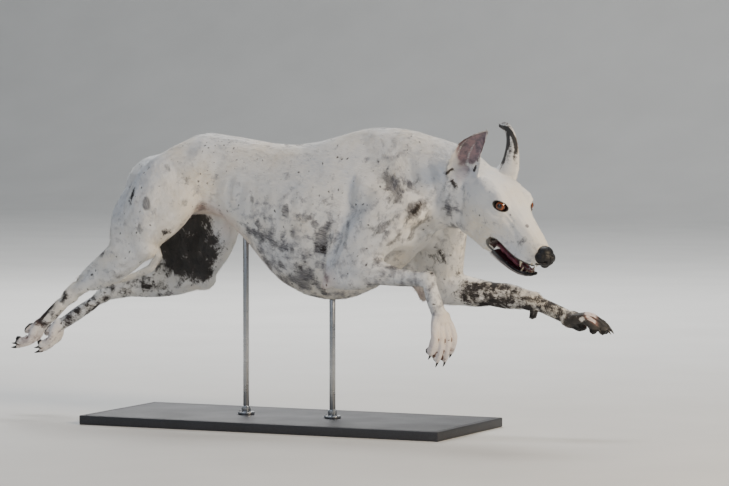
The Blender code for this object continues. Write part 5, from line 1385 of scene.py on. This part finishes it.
def buildTongue():
    print("tongue")
    tongue = bpy.data.objects.new("tongueFlesh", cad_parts["tongue"].data.copy())
    bpy.context.scene.collection.objects.link(tongue)
    pick(tongue)
    bpy.ops.object.mode_set(mode="EDIT")
    bpy.ops.mesh.select_all(action="SELECT")
    bpy.ops.mesh.remove_doubles(threshold=1e-6)
    bpy.ops.object.mode_set(mode="OBJECT")
    modify(tongue, "REMESH", mode="VOXEL", voxel_size=tongueSet["voxel"], adaptivity=0.0)
    modify(tongue, "SMOOTH", factor=0.5, iterations=12)
    coords, normals = coordsOf(tongue), normalsOf(tongue)
    top = (np.array(headSet["origin"]), headMatrix[:, 0], headMatrix[:, 1], headMatrix[:, 2],
           (headSet["scale"], headSet["scale"]))
    stroke(coords, normals, top, [(0.13, 0), (0.19, 0), (0.245, 0)], 0.0028, 0.0020, ends=0.1)
    f, l, _ = inHead(coords).T
    coords += np.array(headMatrix[:, 2])[None] * (0.0012 * np.sin(f * 260)
                                                  * ramp(np.abs(l), 0.004, 0.012))[:, None]
    setCoords(tongue, coords)
    finish(tongue, tongueMaterial(), ("tongue",))


# Claws: each grown once from a ring, then copied to every toe
clawSet = {"length": 0.0150, "width": 0.0031, "drop": 0.0040, "colour": "#141212", "worn": "#4a4038"}


# Claw horn: keratin, near black, finely ribbed along its length, worn paler in patches; a dull polish
def clawMaterial():
    s = clawSet
    material, tree, shader = newMaterial("ClawHorn", Specular_IOR_Level=0.5, IOR=1.54)
    here = addNode(tree, "TexCoord").outputs["Object"]
    ribs = addNode(tree, "TexNoise", {"Vector": here, "Scale": 900.0, "Detail": 2.0}).outputs["Fac"]
    broad = addNode(tree, "TexNoise", {"Vector": here, "Scale": 180.0, "Detail": 3.0}).outputs["Fac"]
    colour = addRamp(tree, broad, (0.45, s["colour"]), (0.75, s["worn"]))
    tree.links.new(colour, shader.inputs["Base Color"])
    tree.links.new(addRamp(tree, broad, (0.3, 0.30), (0.7, 0.50)), shader.inputs["Roughness"])
    bump = addNode(tree, "Bump", {"Height": ribs, "Strength": 0.3, "Distance": 0.0003})
    tree.links.new(bump.outputs[0], shader.inputs["Normal"])
    return material


def buildClaws():
    print("claws")
    s = clawSet
    claw = growHorn("claw", 1.0,
                    [(t, t * t, w) for t, w in ((0.12, 1.04), (0.28, 0.97), (0.44, 0.84), (0.60, 0.67),
                                                (0.76, 0.46), (0.89, 0.28), (0.97, 0.14), (1.0, 0.05))], 16)
    material = clawMaterial()
    for paw in pawSet:
        toes, _, upper, _ = toesOf(paw)
        copies = []
        for _, knuckle, tip in toes:
            run = (tip - knuckle).normalized()
            down = -(upper - run * upper.dot(run)).normalized()
            start = tip + run * 0.0030 + upper * 0.0010
            y = run.cross(down)
            turn = Matrix((down * s["width"], y * s["width"] * 0.72, run * s["length"])).transposed().to_4x4()
            piece = copyPiece(claw, "claw", Matrix())
            coords = coordsOf(piece)
            bend = np.clip(coords[:, 2], 0, 1) ** 2
            coords[:, 0] += bend * (s["drop"] / s["width"] - 1)
            setCoords(piece, coords)
            piece.data.transform(Matrix.Translation(start) @ turn)
            if turn.determinant() < 0:
                piece.data.flip_normals()
            copies.append(piece)
        piece = joinAll(copies, "claws_" + paw)
        modify(piece, "SUBSURF", levels=1, render_levels=1)
        finish(piece, material)
    bpy.data.objects.remove(claw)


# Display stand: a base plate and two rods up to the belly
standSet = {"size": (0.84, 0.34, 0.020), "corner": 0.030, "rim": 0.0025,
            "rods": {"front": 0.100, "rear": -0.105},
            "rod": 0.0065, "flange": 0.018, "colour": "#2a2b2e", "speck": "#3a3b40"}


# Powder-coated steel: charcoal, satin, with the fine orange peel of sprayed and baked powder
def powderMaterial():
    s = standSet
    material, tree, shader = newMaterial("PowderCoatedSteel", Specular_IOR_Level=0.45)
    here = addNode(tree, "TexCoord").outputs["Object"]
    peel = addNode(tree, "TexNoise", {"Vector": here, "Scale": 620.0, "Detail": 2.0}).outputs["Fac"]
    broad = addNode(tree, "TexNoise", {"Vector": here, "Scale": 9.0, "Detail": 5.0}).outputs["Fac"]
    colour = addRamp(tree, calc(tree, "ADD", calc(tree, "MULTIPLY", peel, 0.6),
                                calc(tree, "MULTIPLY", broad, 0.4)),
                     (0.35, s["colour"]), (0.65, s["speck"]))
    tree.links.new(colour, shader.inputs["Base Color"])
    tree.links.new(addRamp(tree, broad, (0.3, 0.42), (0.7, 0.58)), shader.inputs["Roughness"])
    bump = addNode(tree, "Bump", {"Height": peel, "Strength": 0.35, "Distance": 0.0003})
    tree.links.new(bump.outputs[0], shader.inputs["Normal"])
    return material


# Brushed stainless steel: turned on a lathe, so that fine rings run round the rods
def steelMaterial():
    material, tree, shader = newMaterial("BrushedStainlessSteel", Metallic=1.0)
    here = addNode(tree, "TexCoord").outputs["Object"]
    rings = addNode(tree, "Mapping", {"Vector": here, "Scale": (40.0, 40.0, 2400.0)}).outputs[0]
    brush = addNode(tree, "TexNoise", {"Vector": rings, "Scale": 1.0, "Detail": 2.0}).outputs["Fac"]
    smudge = addNode(tree, "TexNoise", {"Vector": here, "Scale": 40.0, "Detail": 4.0}).outputs["Fac"]
    tree.links.new(addRamp(tree, brush, (0.3, "#a9abad"), (0.7, "#c9cbcc")), shader.inputs["Base Color"])
    tree.links.new(addRamp(tree, smudge, (0.35, 0.24), (0.7, 0.38)), shader.inputs["Roughness"])
    bump = addNode(tree, "Bump", {"Height": brush, "Strength": 0.2, "Distance": 0.0002})
    tree.links.new(bump.outputs[0], shader.inputs["Normal"])
    return material


def buildStand():
    print("stand")
    s = standSet
    deselect()
    bpy.ops.mesh.primitive_cube_add(size=1.0, location=(0, 0, s["size"][2] / 2))
    base = bpy.context.object
    base.name = base.data.name = "standBase"
    base.scale = s["size"]
    settle(base)
    bpy.ops.object.mode_set(mode="EDIT")
    bm = bmesh.from_edit_mesh(base.data)
    for edge in bm.edges:
        edge.select = abs(edge.verts[0].co.z - edge.verts[1].co.z) > 0.01
    bm.select_flush_mode()
    bmesh.update_edit_mesh(base.data)
    bpy.ops.mesh.bevel(offset=s["corner"], segments=12, affect="EDGES")
    bm = bmesh.from_edit_mesh(base.data)
    for face in bm.faces:
        face.select = face.normal.z > 0.9
    bmesh.update_edit_mesh(base.data)
    bpy.ops.mesh.inset(thickness=0.009, depth=0)
    bpy.ops.mesh.inset(thickness=0.0008, depth=-0.0007)
    bpy.ops.mesh.inset(thickness=0.0014, depth=0)
    bpy.ops.mesh.inset(thickness=0.0008, depth=0.0007)
    bpy.ops.object.mode_set(mode="OBJECT")
    modify(base, "BEVEL", width=s["rim"] * 0.9, segments=4, limit_method="ANGLE",
           angle_limit=math.radians(60))
    bpy.ops.object.shade_smooth_by_angle(angle=math.radians(30))
    finish(base, powderMaterial(), ("stand_base",), smooth=False)
    steel = steelMaterial()
    for name, x in s["rods"].items():
        low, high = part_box("stand_rod_" + name)
        pieces = []
        for radius, bottom, upper, rim in ((s["rod"], low[2] + 0.0005, high[2], 0.0008),
                                           (s["flange"], low[2], low[2] + 0.0060, 0.0012),
                                           (s["rod"] * 1.55, low[2] + 0.0055, low[2] + 0.0180, 0.0010)):
            deselect()
            bpy.ops.mesh.primitive_cylinder_add(vertices=64, radius=radius, depth=upper - bottom,
                                                location=(x, 0, (bottom + upper) / 2))
            part = settle(bpy.context.object)
            modify(part, "BEVEL", width=rim, segments=3, limit_method="ANGLE", angle_limit=math.radians(60))
            pieces.append(part)
        for k in range(3):      # socket screws of the flange
            a = math.radians(90 + 120 * k)
            deselect()
            bpy.ops.mesh.primitive_cylinder_add(vertices=24, radius=0.0023, depth=0.0016,
                                                location=(x + math.cos(a) * 0.0138, math.sin(a) * 0.0138,
                                                          low[2] + 0.0066))
            screw = settle(bpy.context.object)
            bpy.ops.object.mode_set(mode="EDIT")
            bm = bmesh.from_edit_mesh(screw.data)
            for face in bm.faces:
                face.select = face.normal.z > 0.9
            bmesh.update_edit_mesh(screw.data)
            bpy.ops.mesh.inset(thickness=0.0010, depth=-0.0010)
            bpy.ops.object.mode_set(mode="OBJECT")
            pieces.append(screw)
        rod = joinAll(pieces, "standRod_" + name)
        pick(rod)
        bpy.ops.object.shade_smooth_by_angle(angle=math.radians(35))
        finish(rod, steel, ("stand_rod_" + name,), smooth=False)


# Stage: pale floor sweep, soft studio light from the side that the photograph's sun stood on
stageSet = {"floor": ("#dad9d5", "#e0dfdb"), "world": ("#cbd5e2", 0.36),
            "lights": [("keyLight", (4.0, -1.3, 2.1), (0.15, 0, 0.42), 0.9, 150, "#ffe9c8"),
                       ("fillLight", (-0.6, -5.2, 3.4), (0.0, 0, 0.42), 3.2, 62, "#d6e3fb"),
                       ("rimLight", (-2.4, 3.6, 3.0), (0.0, 0, 0.5), 2.0, 80, "#ffffff"),
                       ("sweepLight", (-1.0, 3.0, 5.5), (-1.5, 6.0, 0.0), 3.5, 360, "#ffffff")]}


def buildStage():
    print("stage")
    deselect()
    bpy.ops.mesh.primitive_plane_add(size=1.0, location=(0, 0, 0))
    floor = bpy.context.object
    floor.name = "studioFloor"
    bpy.ops.object.mode_set(mode="EDIT")
    bpy.ops.transform.resize(value=(30, 24, 1))
    bm = bmesh.from_edit_mesh(floor.data)
    for edge in bm.edges:
        edge.select = all(v.co.y > 1 for v in edge.verts)
    bm.select_flush_mode()
    bmesh.update_edit_mesh(floor.data)
    bpy.ops.mesh.extrude_edges_move(TRANSFORM_OT_translate={"value": (0, 0, 9)})
    bpy.ops.object.mode_set(mode="OBJECT")
    modify(floor, "BEVEL", width=3.0, segments=16, limit_method="ANGLE")
    bpy.ops.object.shade_smooth()
    # Painted studio floor: matt emulsion, faintly uneven from the roller
    material, tree, shader = newMaterial("MattFloorPaint", Roughness=0.85)
    here = addNode(tree, "TexCoord").outputs["Object"]
    noise = addNode(tree, "TexNoise", {"Vector": here, "Scale": 3.0, "Detail": 3.0}).outputs["Fac"]
    tree.links.new(addRamp(tree, noise, (0.3, stageSet["floor"][0]), (0.7, stageSet["floor"][1])),
                   shader.inputs["Base Color"])
    floor.data.materials.append(material)

    data = bpy.data.cameras.new("photoCamera")
    camera = bpy.data.objects.new("photoCamera", data)
    bpy.context.scene.collection.objects.link(camera)
    camera.location = cameraSet["place"]
    camera.rotation_euler = (cameraSet["target"] - cameraSet["place"]).to_track_quat("-Z", "Y").to_euler()
    data.lens, data.sensor_width, data.clip_end = cameraSet["lens"], cameraSet["sensor"], 100.0
    bpy.context.scene.camera = camera

    world = bpy.data.worlds.new("studio")
    bpy.context.scene.world = world
    world.use_nodes = True
    back = world.node_tree.nodes["Background"]
    back.inputs["Color"].default_value = linear(stageSet["world"][0])
    back.inputs["Strength"].default_value = stageSet["world"][1]
    for name, spot, aim, size, power, colour in stageSet["lights"]:
        light = bpy.data.lights.new(name, "AREA")
        light.energy, light.size, light.color = power, size, linear(colour)[:3]
        lamp = bpy.data.objects.new(name, light)
        bpy.context.scene.collection.objects.link(lamp)
        lamp.location = spot
        lamp.rotation_euler = (Vector(aim) - Vector(spot)).to_track_quat("-Z", "Y").to_euler()


skin, earEdges, earFaces, fleshNodes = buildSkin()
paintSkin(skin, earEdges, earFaces)
coat = coatMaterial()
finish(skin, coat, fleshNodes)
buildCoat(skin, coat)
buildEyes()
buildNose()
buildTeeth()
buildTongue()
buildClaws()
buildStand()
buildStage()
